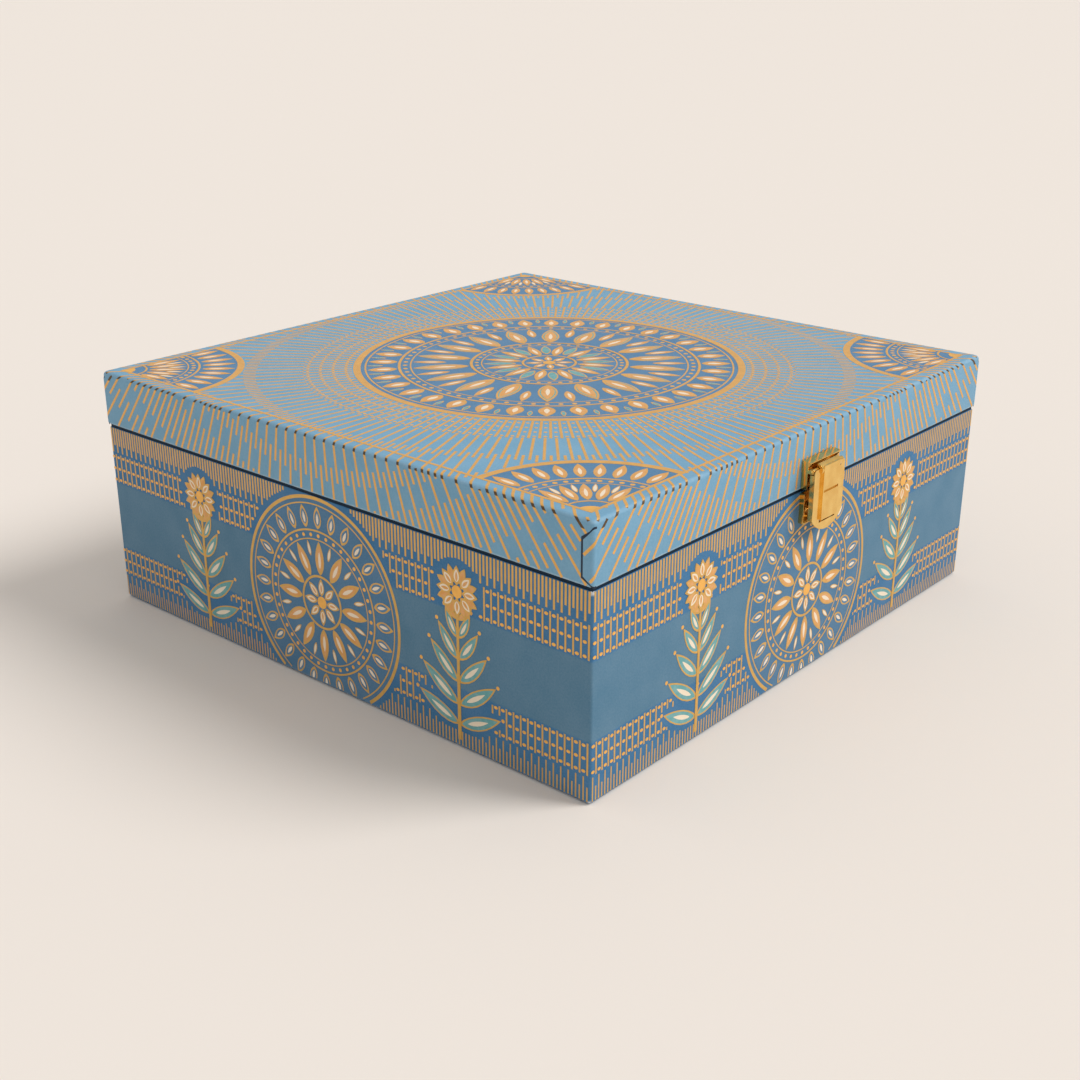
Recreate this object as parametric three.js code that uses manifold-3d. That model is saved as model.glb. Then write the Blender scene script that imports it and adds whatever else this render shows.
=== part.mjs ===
// Sweet jar box: a square board box wrapped in printed paper, with a hinged lid, a lever clasp at the front,
// and a card tray that holds four capped jars.
// Millimetres, +Z up. The origin is the centre of the bottom face. The clasp faces -Y, the hinges are at +Y.
import * as THREE from 'three';
import { mergeVertices } from 'three/addons/utils/BufferGeometryUtils.js';
import Module from 'manifold-3d';

const wasm = await Module();
wasm.setup();

// Overall sizes
const lidWidth = 254;
const lidDepth = 254;
const lidHeight = 21.9;
const baseHeight = 75.3;
const seamGap = 1.3;
const lidOverhang = 0.8;

// Board, paper and glue
const wallBoard = 4;
const topBoard = 4;
const floorBoard = 4;
const wrapPaper = 0.6;
const glueGap = 0.25;
const liningPaper = 0.6;
const bottomSheet = 0.8;
const bottomSheetInset = 2.5;
const baseTurnIn = 15;
const baseTurnUnder = 15;
const lidTopRound = 2.4;
const cornerRound = 1.2;

// Neck boards that line the base and locate the lid
const neckBoard = 1.5;
const neckRise = 5;

// Jar tray and jars
const trayCard = 1.5;
const trayDeckHeight = 40;
const trayClearance = 0.45;
const jarToTrayWall = 9.4;
const jarWall = 2.4;
const jarFloor = 3.2;
const jarFootRound = 6;
const jarShoulderRise = 8;
const jarShoulderInset = 8;
const jarNeckHeight = 11;
const jarHoleClearance = 1;
const capHeight = 13;
const capSheet = 0.9;
const capClearance = 0.5;
const capRound = 1.6;
const sealThickness = 1.2;
const capHeadroom = 9.2;

// Back hinges
const hingeInset = 52;
const hingeWidth = 30;
const hingeKnuckles = 3;
const leafHeight = 13;
const leafSheet = 1;
const knuckleRadius = 2;
const hingePinRadius = 1;
const knuckleGap = 0.4;
const heelReach = 4.6;
const heelSheet = 1;
const leafScrewInset = 6;

// Front clasp
const claspWidth = 18.8;
const claspSheet = 0.8;
const claspCheekDepth = 2.2;
const claspPinRise = 7.6;
const claspPinStandOff = 4;
const claspPinRadius = 0.6;
const claspBarrelRadius = 1.5;
const bracketTopRise = 3.4;
const claspSeamMargin = 0.4;
const leverWidth = 20;
const leverDrop = 14.8;
const leverSheet = 1.1;
const leverSideSheet = 0.9;
const leverSideGap = 0.5;
const leverCornerRound = 4.5;
const leverKnuckleWidth = 13;
const panelWidth = 11.4;
const panelRise = 1;
const panelMargin = 4.6;
const panelGroove = 0.5;
const catchPlateDrop = 11.5;
const catchBarWidth = 8;
const catchBarHeight = 1.6;
const catchBarGap = 1.2;
const claspScrewSpacing = 10;

// Screws
const screwHeadRadius = 1.8;
const screwHeadHeight = 0.7;
const screwShankRadius = 0.8;
const screwBite = 3;
const boreClearance = 0.3;

// Roundness of the facets
const cornerSteps = 3;
const edgeSteps = 3;
const jarSides = 24;
const smallSides = 10;
const leastRadius = 0.3;

// Margins of the modelling itself
const throughMargin = 1;
const weldTolerance = 1e-5;

// Levels and faces worked out from the sizes above
const lidHalfX = lidWidth / 2;
const lidHalfY = lidDepth / 2;
const baseHalfX = lidHalfX - lidOverhang;
const baseHalfY = lidHalfY - lidOverhang;
const lidBottom = baseHeight + seamGap;
const lidTop = lidBottom + lidHeight;
const skin = wrapPaper + glueGap;
const wrapBottom = bottomSheet + glueGap;
const floorLow = wrapBottom + skin;
const floorHigh = floorLow + floorBoard;
const wallHigh = baseHeight - skin;
const wallToNeck = skin + wallBoard + skin + glueGap;
const floorLiningLow = floorHigh + glueGap;
const floorLiningHigh = floorLiningLow + liningPaper;
const lidBoardHigh = lidTop - skin;
const lidBoardLow = lidBoardHigh - topBoard;
const lidSideHigh = lidBoardLow - glueGap;
const lidSideLow = lidBottom + skin;
const lidLiningLow = lidSideHigh - liningPaper;
const hingeAxisY = lidHalfY + glueGap + knuckleRadius;
const hingeAxisZ = baseHeight + seamGap / 2;
const claspPinY = -(lidHalfY + glueGap + claspPinStandOff);
const claspPinZ = lidBottom + claspPinRise;
const claspCheekFront = -(lidHalfY + glueGap + claspCheekDepth);
const leverFront = claspPinY - claspBarrelRadius;
const leverBack = leverFront + leverSheet;
const leverLow = baseHeight - leverDrop;
const jarStand = floorLiningHigh + glueGap;
const trayHalfX = baseHalfX - wallToNeck - neckBoard - trayClearance;
const trayHalfY = baseHalfY - wallToNeck - neckBoard - trayClearance;
const jarX = (trayHalfX - trayCard) / 2;
const jarY = (trayHalfY - trayCard) / 2;
const jarRadius = Math.min(jarX, jarY) - jarToTrayWall;
const jarNeckRadius = jarRadius - jarShoulderInset;
const capTop = lidLiningLow - capHeadroom;
const sealHigh = capTop - capSheet - glueGap;
const sealLow = sealHigh - sealThickness;
const jarHeight = sealLow - glueGap - jarStand;
const capInner = jarNeckRadius + capClearance;

// Materials
const printedPaper = new THREE.MeshStandardMaterial({ color: 0x6f93ae, roughness: 0.55 });
const navyPaper = new THREE.MeshStandardMaterial({ color: 0x1d3450, roughness: 0.7 });
const plainBoard = new THREE.MeshStandardMaterial({ color: 0xb9a07c, roughness: 0.85 });
const trayBoard = new THREE.MeshStandardMaterial({ color: 0xe6dccb, roughness: 0.8 });
const goldMetal = new THREE.MeshStandardMaterial({ color: 0xe0b45c, roughness: 0.2, metalness: 1 });
const clearGlass = new THREE.MeshStandardMaterial({ color: 0xdfe9e6, roughness: 0.05, transparent: true });
const sealFoam = new THREE.MeshStandardMaterial({ color: 0xf1efe8, roughness: 0.8 });

// Closed solids and their joins and cuts

function solidOf(geometry) {
  const bare = geometry.clone();
  bare.deleteAttribute('normal');
  bare.deleteAttribute('uv');
  const welded = mergeVertices(bare, weldTolerance);
  const corners = [];
  const index = welded.index.array;
  for (let i = 0; i < index.length; i += 3) {
    const [a, b, c] = [index[i], index[i + 1], index[i + 2]];
    if (a !== b && b !== c && c !== a) corners.push(a, b, c);
  }
  const places = welded.attributes.position.array;
  if (volumeOf(places, corners) < 0) corners.reverse();
  const mesh = { numProp: 3, vertProperties: Float32Array.from(places), triVerts: Uint32Array.from(corners) };
  return new wasm.Manifold(new wasm.Mesh(mesh));
}

function volumeOf(places, corners) {
  const [a, b, c] = [new THREE.Vector3(), new THREE.Vector3(), new THREE.Vector3()];
  let total = 0;
  for (let i = 0; i < corners.length; i += 3) {
    a.fromArray(places, 3 * corners[i]);
    b.fromArray(places, 3 * corners[i + 1]);
    c.fromArray(places, 3 * corners[i + 2]);
    total += a.dot(b.cross(c)) / 6;
  }
  return total;
}

function geometryOf(solid) {
  const { vertProperties, triVerts } = solid.getMesh();
  const geometry = new THREE.BufferGeometry();
  geometry.setAttribute('position', new THREE.BufferAttribute(vertProperties, 3));
  geometry.setIndex(new THREE.BufferAttribute(triVerts, 1));
  geometry.computeVertexNormals();
  return geometry;
}

function join(first, ...others) {
  return others.reduce((whole, other) => whole.add(other), first);
}

function cut(first, ...others) {
  return others.reduce((whole, other) => whole.subtract(other), first);
}

// A plain block between two corners
function block(low, high) {
  const size = high.map((value, axis) => value - low[axis]);
  const centre = high.map((value, axis) => (value + low[axis]) / 2);
  return solidOf(new THREE.BoxGeometry(...size).translate(...centre));
}

function outline(halfX, halfY, radius) {
  const quarters = [[1, 1], [-1, 1], [-1, -1], [1, -1]];
  return quarters.flatMap(([sideX, sideY], quarter) => {
    return Array.from({ length: cornerSteps + 1 }, (_, step) => {
      const turn = (quarter + step / cornerSteps) * Math.PI / 2;
      return [
        sideX * (halfX - radius) + radius * Math.cos(turn),
        sideY * (halfY - radius) + radius * Math.sin(turn),
      ];
    });
  });
}

// A block with upright corners of one radius, and its top or bottom edges rounded where asked
function softBlock(halfX, halfY, low, high, corner, { topRound = 0, bottomRound = 0 } = {}) {
  const levels = [];
  for (let step = 0; bottomRound > 0 && step < edgeSteps; step += 1) {
    const turn = (step / edgeSteps) * Math.PI / 2;
    levels.push([bottomRound * (1 - Math.sin(turn)), low + bottomRound * (1 - Math.cos(turn))]);
  }
  levels.push([0, low + bottomRound], [0, high - topRound]);
  for (let step = 1; topRound > 0 && step <= edgeSteps; step += 1) {
    const turn = (step / edgeSteps) * Math.PI / 2;
    levels.push([topRound * (1 - Math.cos(turn)), high - topRound * (1 - Math.sin(turn))]);
  }
  const rings = levels.map(([inset, z]) => {
    const radius = Math.max(corner - inset, leastRadius);
    return outline(halfX - inset, halfY - inset, radius).map(([x, y]) => [x, y, z]);
  });
  return solidOf(loft(rings));
}

function loft(rings) {
  const count = rings[0].length;
  const last = (rings.length - 1) * count;
  const index = [];
  for (let ring = 0; ring + 1 < rings.length; ring += 1) {
    for (let i = 0; i < count; i += 1) {
      const a = ring * count + i;
      const b = ring * count + ((i + 1) % count);
      index.push(a, b, b + count, a, b + count, a + count);
    }
  }
  for (let i = 1; i + 1 < count; i += 1) {
    index.push(0, i + 1, i);
    index.push(last, last + i, last + i + 1);
  }
  const geometry = new THREE.BufferGeometry();
  geometry.setAttribute('position', new THREE.Float32BufferAttribute(rings.flat(2), 3));
  geometry.setIndex(index);
  return geometry;
}

// A rod along X, and a round bore along Y
function rodX(radius, x0, x1, y, z) {
  const rod = new THREE.CylinderGeometry(radius, radius, x1 - x0, smallSides);
  return solidOf(rod.rotateZ(Math.PI / 2).translate((x0 + x1) / 2, y, z));
}

function boreY(x, z, y0, y1) {
  const radius = screwShankRadius + boreClearance;
  const bore = new THREE.CylinderGeometry(radius, radius, y1 - y0, smallSides);
  return solidOf(bore.translate(x, (y0 + y1) / 2, z));
}

// A turned piece about Z, from its profile of radius and height
function turned(profile, sides) {
  const points = profile.map(([radius, height]) => new THREE.Vector2(radius, height));
  return solidOf(new THREE.LatheGeometry(points, sides).rotateX(Math.PI / 2));
}

function roundCorner(centreR, centreZ, radius, from, to) {
  return Array.from({ length: edgeSteps + 1 }, (_, step) => {
    const turn = THREE.MathUtils.degToRad(from + (to - from) * step / edgeSteps);
    return [centreR + radius * Math.cos(turn), centreZ + radius * Math.sin(turn)];
  });
}

const box = new THREE.Group();

function place(name, solid, material, position = [0, 0, 0], turnZ = 0) {
  const mesh = new THREE.Mesh(geometryOf(solid), material);
  mesh.name = name;
  mesh.position.set(...position);
  mesh.rotation.z = turnZ;
  box.add(mesh);
}

// Where the screws go: hinge leaves at the back, bracket and catch plate at the front

const hingeX = lidHalfX - hingeInset;
const hingeCentres = { left: -hingeX, right: hingeX };
const leafEdge = knuckleRadius + knuckleGap;
const leafScrewRise = (leafEdge + leafHeight) / 2;
const leafScrewX = hingeWidth / 2 - leafScrewInset;
const bracketLow = lidBottom + claspSeamMargin;
const bracketScrewZ = (bracketLow + claspPinZ - claspBarrelRadius) / 2;
const catchHigh = baseHeight - claspSeamMargin;
const catchLow = catchHigh - catchPlateDrop;
const catchScrewZ = (catchLow + catchHigh) / 2;

const hingeScrews = Object.entries(hingeCentres).flatMap(([side, x]) => [
  { name: `hinge_screw_${side}_1`, x: x - leafScrewX },
  { name: `hinge_screw_${side}_2`, x: x + leafScrewX },
]);
const claspScrews = [
  { name: 'clasp_screw_left', x: -claspScrewSpacing / 2 },
  { name: 'clasp_screw_right', x: claspScrewSpacing / 2 },
];

function backBores(z) {
  return hingeScrews.map(({ x }) => boreY(x, z, 0, hingeAxisY));
}

function frontBores(z) {
  return claspScrews.map(({ x }) => boreY(x, z, claspPinY, 0));
}

const lidBackBores = backBores(hingeAxisZ + leafScrewRise);
const baseBackBores = backBores(hingeAxisZ - leafScrewRise);
const lidFrontBores = frontBores(bracketScrewZ);
const baseFrontBores = frontBores(catchScrewZ);

function screw(sheet) {
  const bite = sheet + glueGap + skin + screwBite;
  const profile = [
    [0, -bite],
    [screwShankRadius, -bite + screwShankRadius],
    [screwShankRadius, glueGap],
    [screwHeadRadius, glueGap],
    [screwHeadRadius, glueGap + screwHeadHeight / 2],
    [screwHeadRadius / 2, glueGap + screwHeadHeight],
    [0, glueGap + screwHeadHeight],
  ];
  const points = profile.map(([radius, height]) => new THREE.Vector2(radius, height));
  return solidOf(new THREE.LatheGeometry(points, smallSides));
}

// Base

function baseWrap() {
  const [innerX, innerY] = [baseHalfX - wrapPaper, baseHalfY - wrapPaper];
  const [foldX, foldY] = [baseHalfX - skin - wallBoard - glueGap, baseHalfY - skin - wallBoard - glueGap];
  const [mouthX, mouthY] = [foldX - wrapPaper, foldY - wrapPaper];
  const outside = softBlock(baseHalfX, baseHalfY, wrapBottom, baseHeight, cornerRound, {
    bottomRound: cornerRound,
  });
  const room = block([-innerX, -innerY, wrapBottom + wrapPaper], [innerX, innerY, baseHeight - wrapPaper]);
  const mouth = block([-mouthX, -mouthY, floorHigh], [mouthX, mouthY, baseHeight + throughMargin]);
  const under = [baseHalfX - baseTurnUnder, baseHalfY - baseTurnUnder];
  const underside = block([-under[0], -under[1], 0], [under[0], under[1], floorHigh]);
  const turnIn = cut(
    block([-foldX, -foldY, baseHeight - baseTurnIn], [foldX, foldY, baseHeight]),
    mouth,
  );
  return cut(join(cut(outside, room, mouth, underside), turnIn), ...baseBackBores, ...baseFrontBores);
}

function placeBaseBoards() {
  const [outX, outY] = [baseHalfX - skin, baseHalfY - skin];
  const [inX, inY] = [outX - wallBoard, outY - wallBoard];
  const floorX = inX - glueGap;
  const floorY = inY - glueGap;
  place('base_floor_board', block([-floorX, -floorY, floorLow], [floorX, floorY, floorHigh]), plainBoard);
  const front = block([-outX, -outY, floorLow], [outX, -inY, wallHigh]);
  const back = block([-outX, inY, floorLow], [outX, outY, wallHigh]);
  place('base_front_board', cut(front, ...baseFrontBores), plainBoard);
  place('base_back_board', cut(back, ...baseBackBores), plainBoard);
  place('base_left_board', block([-outX, -floorY, floorLow], [-inX, floorY, wallHigh]), plainBoard);
  place('base_right_board', block([inX, -floorY, floorLow], [outX, floorY, wallHigh]), plainBoard);
}

function placeNeckBoards() {
  const [outX, outY] = [baseHalfX - wallToNeck, baseHalfY - wallToNeck];
  const [inX, inY] = [outX - neckBoard, outY - neckBoard];
  const sideY = inY - glueGap;
  const low = floorHigh + glueGap;
  const high = baseHeight + neckRise;
  place('neck_front_board', block([-outX, -outY, low], [outX, -inY, high]), navyPaper);
  place('neck_back_board', block([-outX, inY, low], [outX, outY, high]), navyPaper);
  place('neck_left_board', block([-outX, -sideY, low], [-inX, sideY, high]), navyPaper);
  place('neck_right_board', block([inX, -sideY, low], [outX, sideY, high]), navyPaper);
  const lining = block([glueGap - inX, -sideY, floorLiningLow], [inX - glueGap, sideY, floorLiningHigh]);
  place('base_floor_lining', lining, navyPaper);
}

function placeBase() {
  const sheetX = baseHalfX - bottomSheetInset;
  const sheetY = baseHalfY - bottomSheetInset;
  place('base_bottom_sheet', block([-sheetX, -sheetY, 0], [sheetX, sheetY, bottomSheet]), navyPaper);
  place('base_wrap', baseWrap(), printedPaper);
  placeBaseBoards();
  placeNeckBoards();
}

// Jar tray and jars

const jarPlaces = [[-jarX, -jarY], [jarX, -jarY], [-jarX, jarY], [jarX, jarY]];

function jarTray() {
  const deckHigh = jarStand + trayDeckHeight;
  const holes = jarPlaces.map(([x, y]) => {
    const radius = jarRadius + jarHoleClearance;
    const hole = new THREE.CylinderGeometry(radius, radius, 2 * trayDeckHeight, jarSides);
    return solidOf(hole.rotateX(Math.PI / 2).translate(x, y, deckHigh));
  });
  const folded = block([-trayHalfX, -trayHalfY, jarStand], [trayHalfX, trayHalfY, deckHigh]);
  const inside = block(
    [trayCard - trayHalfX, trayCard - trayHalfY, jarStand - throughMargin],
    [trayHalfX - trayCard, trayHalfY - trayCard, deckHigh - trayCard],
  );
  return cut(folded, inside, ...holes);
}

function jar() {
  const neckLow = jarHeight - jarNeckHeight;
  const shoulderLow = neckLow - jarShoulderRise;
  const bore = jarNeckRadius - jarWall;
  const inner = jarRadius - jarWall;
  const innerFoot = jarFootRound - jarWall;
  return turned([
    [0, 0],
    ...roundCorner(jarRadius - jarFootRound, jarFootRound, jarFootRound, -90, 0),
    [jarRadius, shoulderLow],
    [jarNeckRadius, neckLow],
    [jarNeckRadius, jarHeight],
    [bore, jarHeight],
    [bore, neckLow],
    [inner, shoulderLow],
    ...roundCorner(inner - innerFoot, jarFloor + innerFoot, innerFoot, 0, -90),
    [0, jarFloor],
  ], jarSides);
}

function cap() {
  const outer = capInner + capSheet;
  const roof = capTop - capSheet;
  return turned([
    [0, roof],
    [capInner, roof],
    [capInner, capTop - capHeight],
    [outer, capTop - capHeight],
    ...roundCorner(outer - capRound, capTop - capRound, capRound, 0, 90),
    [0, capTop],
  ], jarSides);
}

function seal() {
  const radius = capInner - glueGap;
  return turned([[0, sealLow], [radius, sealLow], [radius, sealHigh], [0, sealHigh]], jarSides);
}

function placeJars() {
  place('jar_tray', jarTray(), trayBoard);
  jarPlaces.forEach(([x, y], i) => {
    place(`jar_${i + 1}`, jar(), clearGlass, [x, y, jarStand]);
    place(`jar_cap_${i + 1}`, cap(), goldMetal, [x, y, 0]);
    place(`jar_seal_${i + 1}`, seal(), sealFoam, [x, y, 0]);
  });
}

// Lid

function lidWrap() {
  const [innerX, innerY] = [lidHalfX - wrapPaper, lidHalfY - wrapPaper];
  const [foldX, foldY] = [lidHalfX - skin - wallBoard - glueGap, lidHalfY - skin - wallBoard - glueGap];
  const [mouthX, mouthY] = [foldX - wrapPaper, foldY - wrapPaper];
  const outside = softBlock(lidHalfX, lidHalfY, lidBottom, lidTop, cornerRound, { topRound: lidTopRound });
  const room = softBlock(innerX, innerY, lidBottom + wrapPaper, lidTop - wrapPaper, cornerRound - wrapPaper, {
    topRound: lidTopRound - wrapPaper,
  });
  const mouth = block([-mouthX, -mouthY, lidBottom - throughMargin], [mouthX, mouthY, lidBoardLow]);
  const turnIn = cut(block([-foldX, -foldY, lidBottom], [foldX, foldY, lidSideHigh]), mouth);
  return cut(join(cut(outside, room, mouth), turnIn), ...lidBackBores, ...lidFrontBores);
}

function placeLid() {
  const [outX, outY] = [lidHalfX - skin, lidHalfY - skin];
  const [inX, inY] = [outX - wallBoard, outY - wallBoard];
  const sideY = inY - glueGap;
  const topEdge = Math.max(lidTopRound - skin, leastRadius);
  const cover = softBlock(outX, outY, lidBoardLow, lidBoardHigh, leastRadius, { topRound: topEdge });
  place('lid_top_board', cover, plainBoard);
  const front = block([-outX, -outY, lidSideLow], [outX, -inY, lidSideHigh]);
  const back = block([-outX, inY, lidSideLow], [outX, outY, lidSideHigh]);
  place('lid_front_board', cut(front, ...lidFrontBores), plainBoard);
  place('lid_back_board', cut(back, ...lidBackBores), plainBoard);
  place('lid_left_board', block([-outX, -sideY, lidSideLow], [-inX, sideY, lidSideHigh]), plainBoard);
  place('lid_right_board', block([inX, -sideY, lidSideLow], [outX, sideY, lidSideHigh]), plainBoard);
  const liningX = inX - glueGap - wrapPaper - glueGap;
  const liningY = inY - glueGap - wrapPaper - glueGap;
  const lining = block([-liningX, -liningY, lidLiningLow], [liningX, liningY, lidSideHigh]);
  place('lid_top_lining', lining, navyPaper);
  place('lid_wrap', lidWrap(), printedPaper);
}

// Hinges: the lid leaf has the middle knuckle and the heel that stops the lid, the base leaf the outer two

const middleHalf = hingeWidth / hingeKnuckles / 2;
const pinBore = hingePinRadius + boreClearance;

function lidLeaf(x) {
  const face = lidHalfY + glueGap;
  const low = hingeAxisZ + leafEdge;
  const half = hingeWidth / 2;
  const middle = middleHalf - knuckleGap / 2;
  const plate = block([x - half, face, low], [x + half, face + leafSheet, hingeAxisZ + leafHeight]);
  const tab = block([x - middle, face, hingeAxisZ], [x + middle, face + leafSheet, low + leafSheet]);
  const barrel = rodX(knuckleRadius, x - middle, x + middle, hingeAxisY, hingeAxisZ);
  const heel = block(
    [x - middle, hingeAxisY, hingeAxisZ - heelSheet / 2],
    [x + middle, hingeAxisY + heelReach, hingeAxisZ + heelSheet / 2],
  );
  const bore = rodX(pinBore, x - half, x + half, hingeAxisY, hingeAxisZ);
  return cut(join(plate, tab, barrel, heel), bore, ...lidBackBores);
}

function baseLeaf(x) {
  const face = baseHalfY + glueGap;
  const high = hingeAxisZ - leafEdge;
  const half = hingeWidth / 2;
  const inner = middleHalf + knuckleGap / 2;
  const plate = block([x - half, face, hingeAxisZ - leafHeight], [x + half, face + leafSheet, high]);
  const bore = rodX(pinBore, x - half - throughMargin, x + half + throughMargin, hingeAxisY, hingeAxisZ);
  const knuckles = [[x - half, x - inner], [x + inner, x + half]].map(([x0, x1]) => {
    const barrel = rodX(knuckleRadius, x0, x1, hingeAxisY, hingeAxisZ);
    const tab = block([x0, face, high - leafSheet], [x1, hingeAxisY, hingeAxisZ - pinBore]);
    return join(barrel, tab);
  });
  return cut(join(plate, ...knuckles), bore, ...baseBackBores);
}

function placeHinges() {
  Object.entries(hingeCentres).forEach(([side, x]) => {
    place(`hinge_lid_leaf_${side}`, lidLeaf(x), goldMetal);
    place(`hinge_base_leaf_${side}`, baseLeaf(x), goldMetal);
    const pin = rodX(hingePinRadius, x - hingeWidth / 2, x + hingeWidth / 2, hingeAxisY, hingeAxisZ);
    place(`hinge_pin_${side}`, pin, goldMetal);
  });
  hingeScrews.forEach(({ name, x }) => {
    const lidSeat = lidHalfY + glueGap + leafSheet;
    const baseSeat = baseHalfY + glueGap + leafSheet;
    place(`lid_${name}`, screw(leafSheet), goldMetal, [x, lidSeat, hingeAxisZ + leafScrewRise]);
    place(`base_${name}`, screw(leafSheet), goldMetal, [x, baseSeat, hingeAxisZ - leafScrewRise]);
  });
}

// Clasp: a shallow dished plate on the lid carries the pin, its match on the base carries the catch bar

function dish(face, low, high, flangeLow, flangeHigh) {
  const half = claspWidth / 2;
  const plate = block([-half, face - claspSheet, low], [half, face, high]);
  const leftCheek = block([-half, claspCheekFront, low], [claspSheet - half, face, high]);
  const rightCheek = block([half - claspSheet, claspCheekFront, low], [half, face, high]);
  const flange = block([-half, claspCheekFront, flangeLow], [half, face, flangeHigh]);
  return join(plate, leftCheek, rightCheek, flange);
}

function claspBracket() {
  const face = -(lidHalfY + glueGap);
  const high = claspPinZ + bracketTopRise;
  const earInner = leverKnuckleWidth / 2 + knuckleGap;
  const half = claspWidth / 2;
  const ears = [[-half, -earInner], [earInner, half]].map(([x0, x1]) => {
    const arm = block(
      [x0, claspPinY, claspPinZ - claspBarrelRadius],
      [x1, face, claspPinZ + claspBarrelRadius],
    );
    return join(arm, rodX(claspBarrelRadius, x0, x1, claspPinY, claspPinZ));
  });
  const bore = rodX(claspPinRadius + boreClearance, -leverWidth, leverWidth, claspPinY, claspPinZ);
  return cut(join(dish(face, bracketLow, high, high - claspSheet, high), ...ears), bore, ...lidFrontBores);
}

function claspCatch() {
  const face = -(baseHalfY + glueGap);
  const barFront = leverBack + catchBarGap;
  const bar = block(
    [-catchBarWidth / 2, barFront, catchLow],
    [catchBarWidth / 2, face, catchLow + catchBarHeight],
  );
  const plate = dish(face, catchLow, catchHigh, catchLow, catchLow + claspSheet);
  return cut(join(plate, bar), ...baseFrontBores);
}

function leverPlate() {
  const half = leverWidth / 2;
  const neck = leverKnuckleWidth / 2;
  const shoulder = claspPinZ - claspBarrelRadius - knuckleGap;
  const shape = new THREE.Shape();
  shape.moveTo(half, shoulder);
  shape.lineTo(neck, shoulder);
  shape.lineTo(neck, claspPinZ);
  shape.lineTo(-neck, claspPinZ);
  shape.lineTo(-neck, shoulder);
  shape.lineTo(-half, shoulder);
  const centreX = half - leverCornerRound;
  const centreZ = leverLow + leverCornerRound;
  shape.absarc(-centreX, centreZ, leverCornerRound, Math.PI, 1.5 * Math.PI, false);
  shape.absarc(centreX, centreZ, leverCornerRound, 1.5 * Math.PI, 2 * Math.PI, false);
  const settings = { depth: leverSheet, bevelEnabled: false, curveSegments: edgeSteps };
  const plate = new THREE.ExtrudeGeometry(shape, settings);
  return solidOf(plate.rotateX(Math.PI / 2).translate(0, leverBack, 0));
}

function claspLever() {
  const half = leverWidth / 2;
  const knuckle = leverKnuckleWidth / 2;
  const shoulder = claspPinZ - claspBarrelRadius - knuckleGap;
  const barrel = rodX(claspBarrelRadius, -knuckle, knuckle, claspPinY, claspPinZ);
  const bore = rodX(claspPinRadius + boreClearance, -half, half, claspPinY, claspPinZ);
  const sideBack = claspCheekFront - leverSideGap;
  const sides = [-half, half - leverSideSheet].map((x) => block(
    [x, leverFront, leverLow + leverCornerRound],
    [x + leverSideSheet, sideBack, shoulder],
  ));
  const panelLow = leverLow + panelMargin;
  const panelFront = leverFront - panelRise;
  const panel = block([-panelWidth / 2, panelFront, panelLow], [panelWidth / 2, leverBack, claspPinZ]);
  const grooveZ = (panelLow + claspPinZ) / 2;
  const groove = block(
    [-panelWidth / 2 - throughMargin, panelFront - throughMargin, grooveZ - panelGroove / 2],
    [panelWidth / 2 + throughMargin, panelFront + panelGroove, grooveZ + panelGroove / 2],
  );
  return cut(join(leverPlate(), barrel, ...sides, panel), groove, bore);
}

function placeClasp() {
  place('clasp_bracket', claspBracket(), goldMetal);
  place('clasp_catch', claspCatch(), goldMetal);
  place('clasp_lever', claspLever(), goldMetal);
  const half = claspWidth / 2;
  place('clasp_pin', rodX(claspPinRadius, -half, half, claspPinY, claspPinZ), goldMetal);
  claspScrews.forEach(({ name, x }) => {
    const lidSeat = -(lidHalfY + glueGap + claspSheet);
    const baseSeat = -(baseHalfY + glueGap + claspSheet);
    place(`lid_${name}`, screw(claspSheet), goldMetal, [x, lidSeat, bracketScrewZ], Math.PI);
    place(`base_${name}`, screw(claspSheet), goldMetal, [x, baseSeat, catchScrewZ], Math.PI);
  });
}

placeBase();
placeJars();
placeLid();
placeHinges();
placeClasp();

export default box;
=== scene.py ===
# %% [markdown]
# # A sweet jar box
# The object is a square board box wrapped in printed paper, with a hinged lid, a gold lever clasp and a card
# tray of jars inside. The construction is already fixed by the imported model, which this lesson loads as its
# frame. Everything here is the look: paper, foil, metal and glass, in the same place and at the same size.

# %% Load the frame
import math

import bmesh
import bpy
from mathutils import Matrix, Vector


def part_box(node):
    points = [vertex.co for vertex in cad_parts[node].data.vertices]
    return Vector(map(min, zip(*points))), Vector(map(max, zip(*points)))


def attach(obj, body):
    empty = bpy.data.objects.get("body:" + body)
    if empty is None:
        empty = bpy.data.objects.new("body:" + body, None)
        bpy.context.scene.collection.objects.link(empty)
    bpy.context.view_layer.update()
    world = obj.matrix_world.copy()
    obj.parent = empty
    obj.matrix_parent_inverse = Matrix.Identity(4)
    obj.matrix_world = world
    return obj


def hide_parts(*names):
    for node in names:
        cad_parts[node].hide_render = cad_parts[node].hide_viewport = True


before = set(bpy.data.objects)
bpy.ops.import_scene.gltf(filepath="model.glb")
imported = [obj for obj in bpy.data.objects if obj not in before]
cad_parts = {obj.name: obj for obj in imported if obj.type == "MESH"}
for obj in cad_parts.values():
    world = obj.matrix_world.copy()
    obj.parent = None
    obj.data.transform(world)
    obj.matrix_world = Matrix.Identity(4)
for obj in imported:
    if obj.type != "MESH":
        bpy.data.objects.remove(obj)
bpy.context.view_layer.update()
MM = 0.001


def span(node):
    """The lowest and highest corners of a node, in millimetres."""
    low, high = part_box(node)
    return [value / MM for value in low], [value / MM for value in high]


def middle_of(node):
    """The middle of a node's box, in millimetres."""
    return [(a + b) / 2 for a, b in zip(*span(node))]


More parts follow.
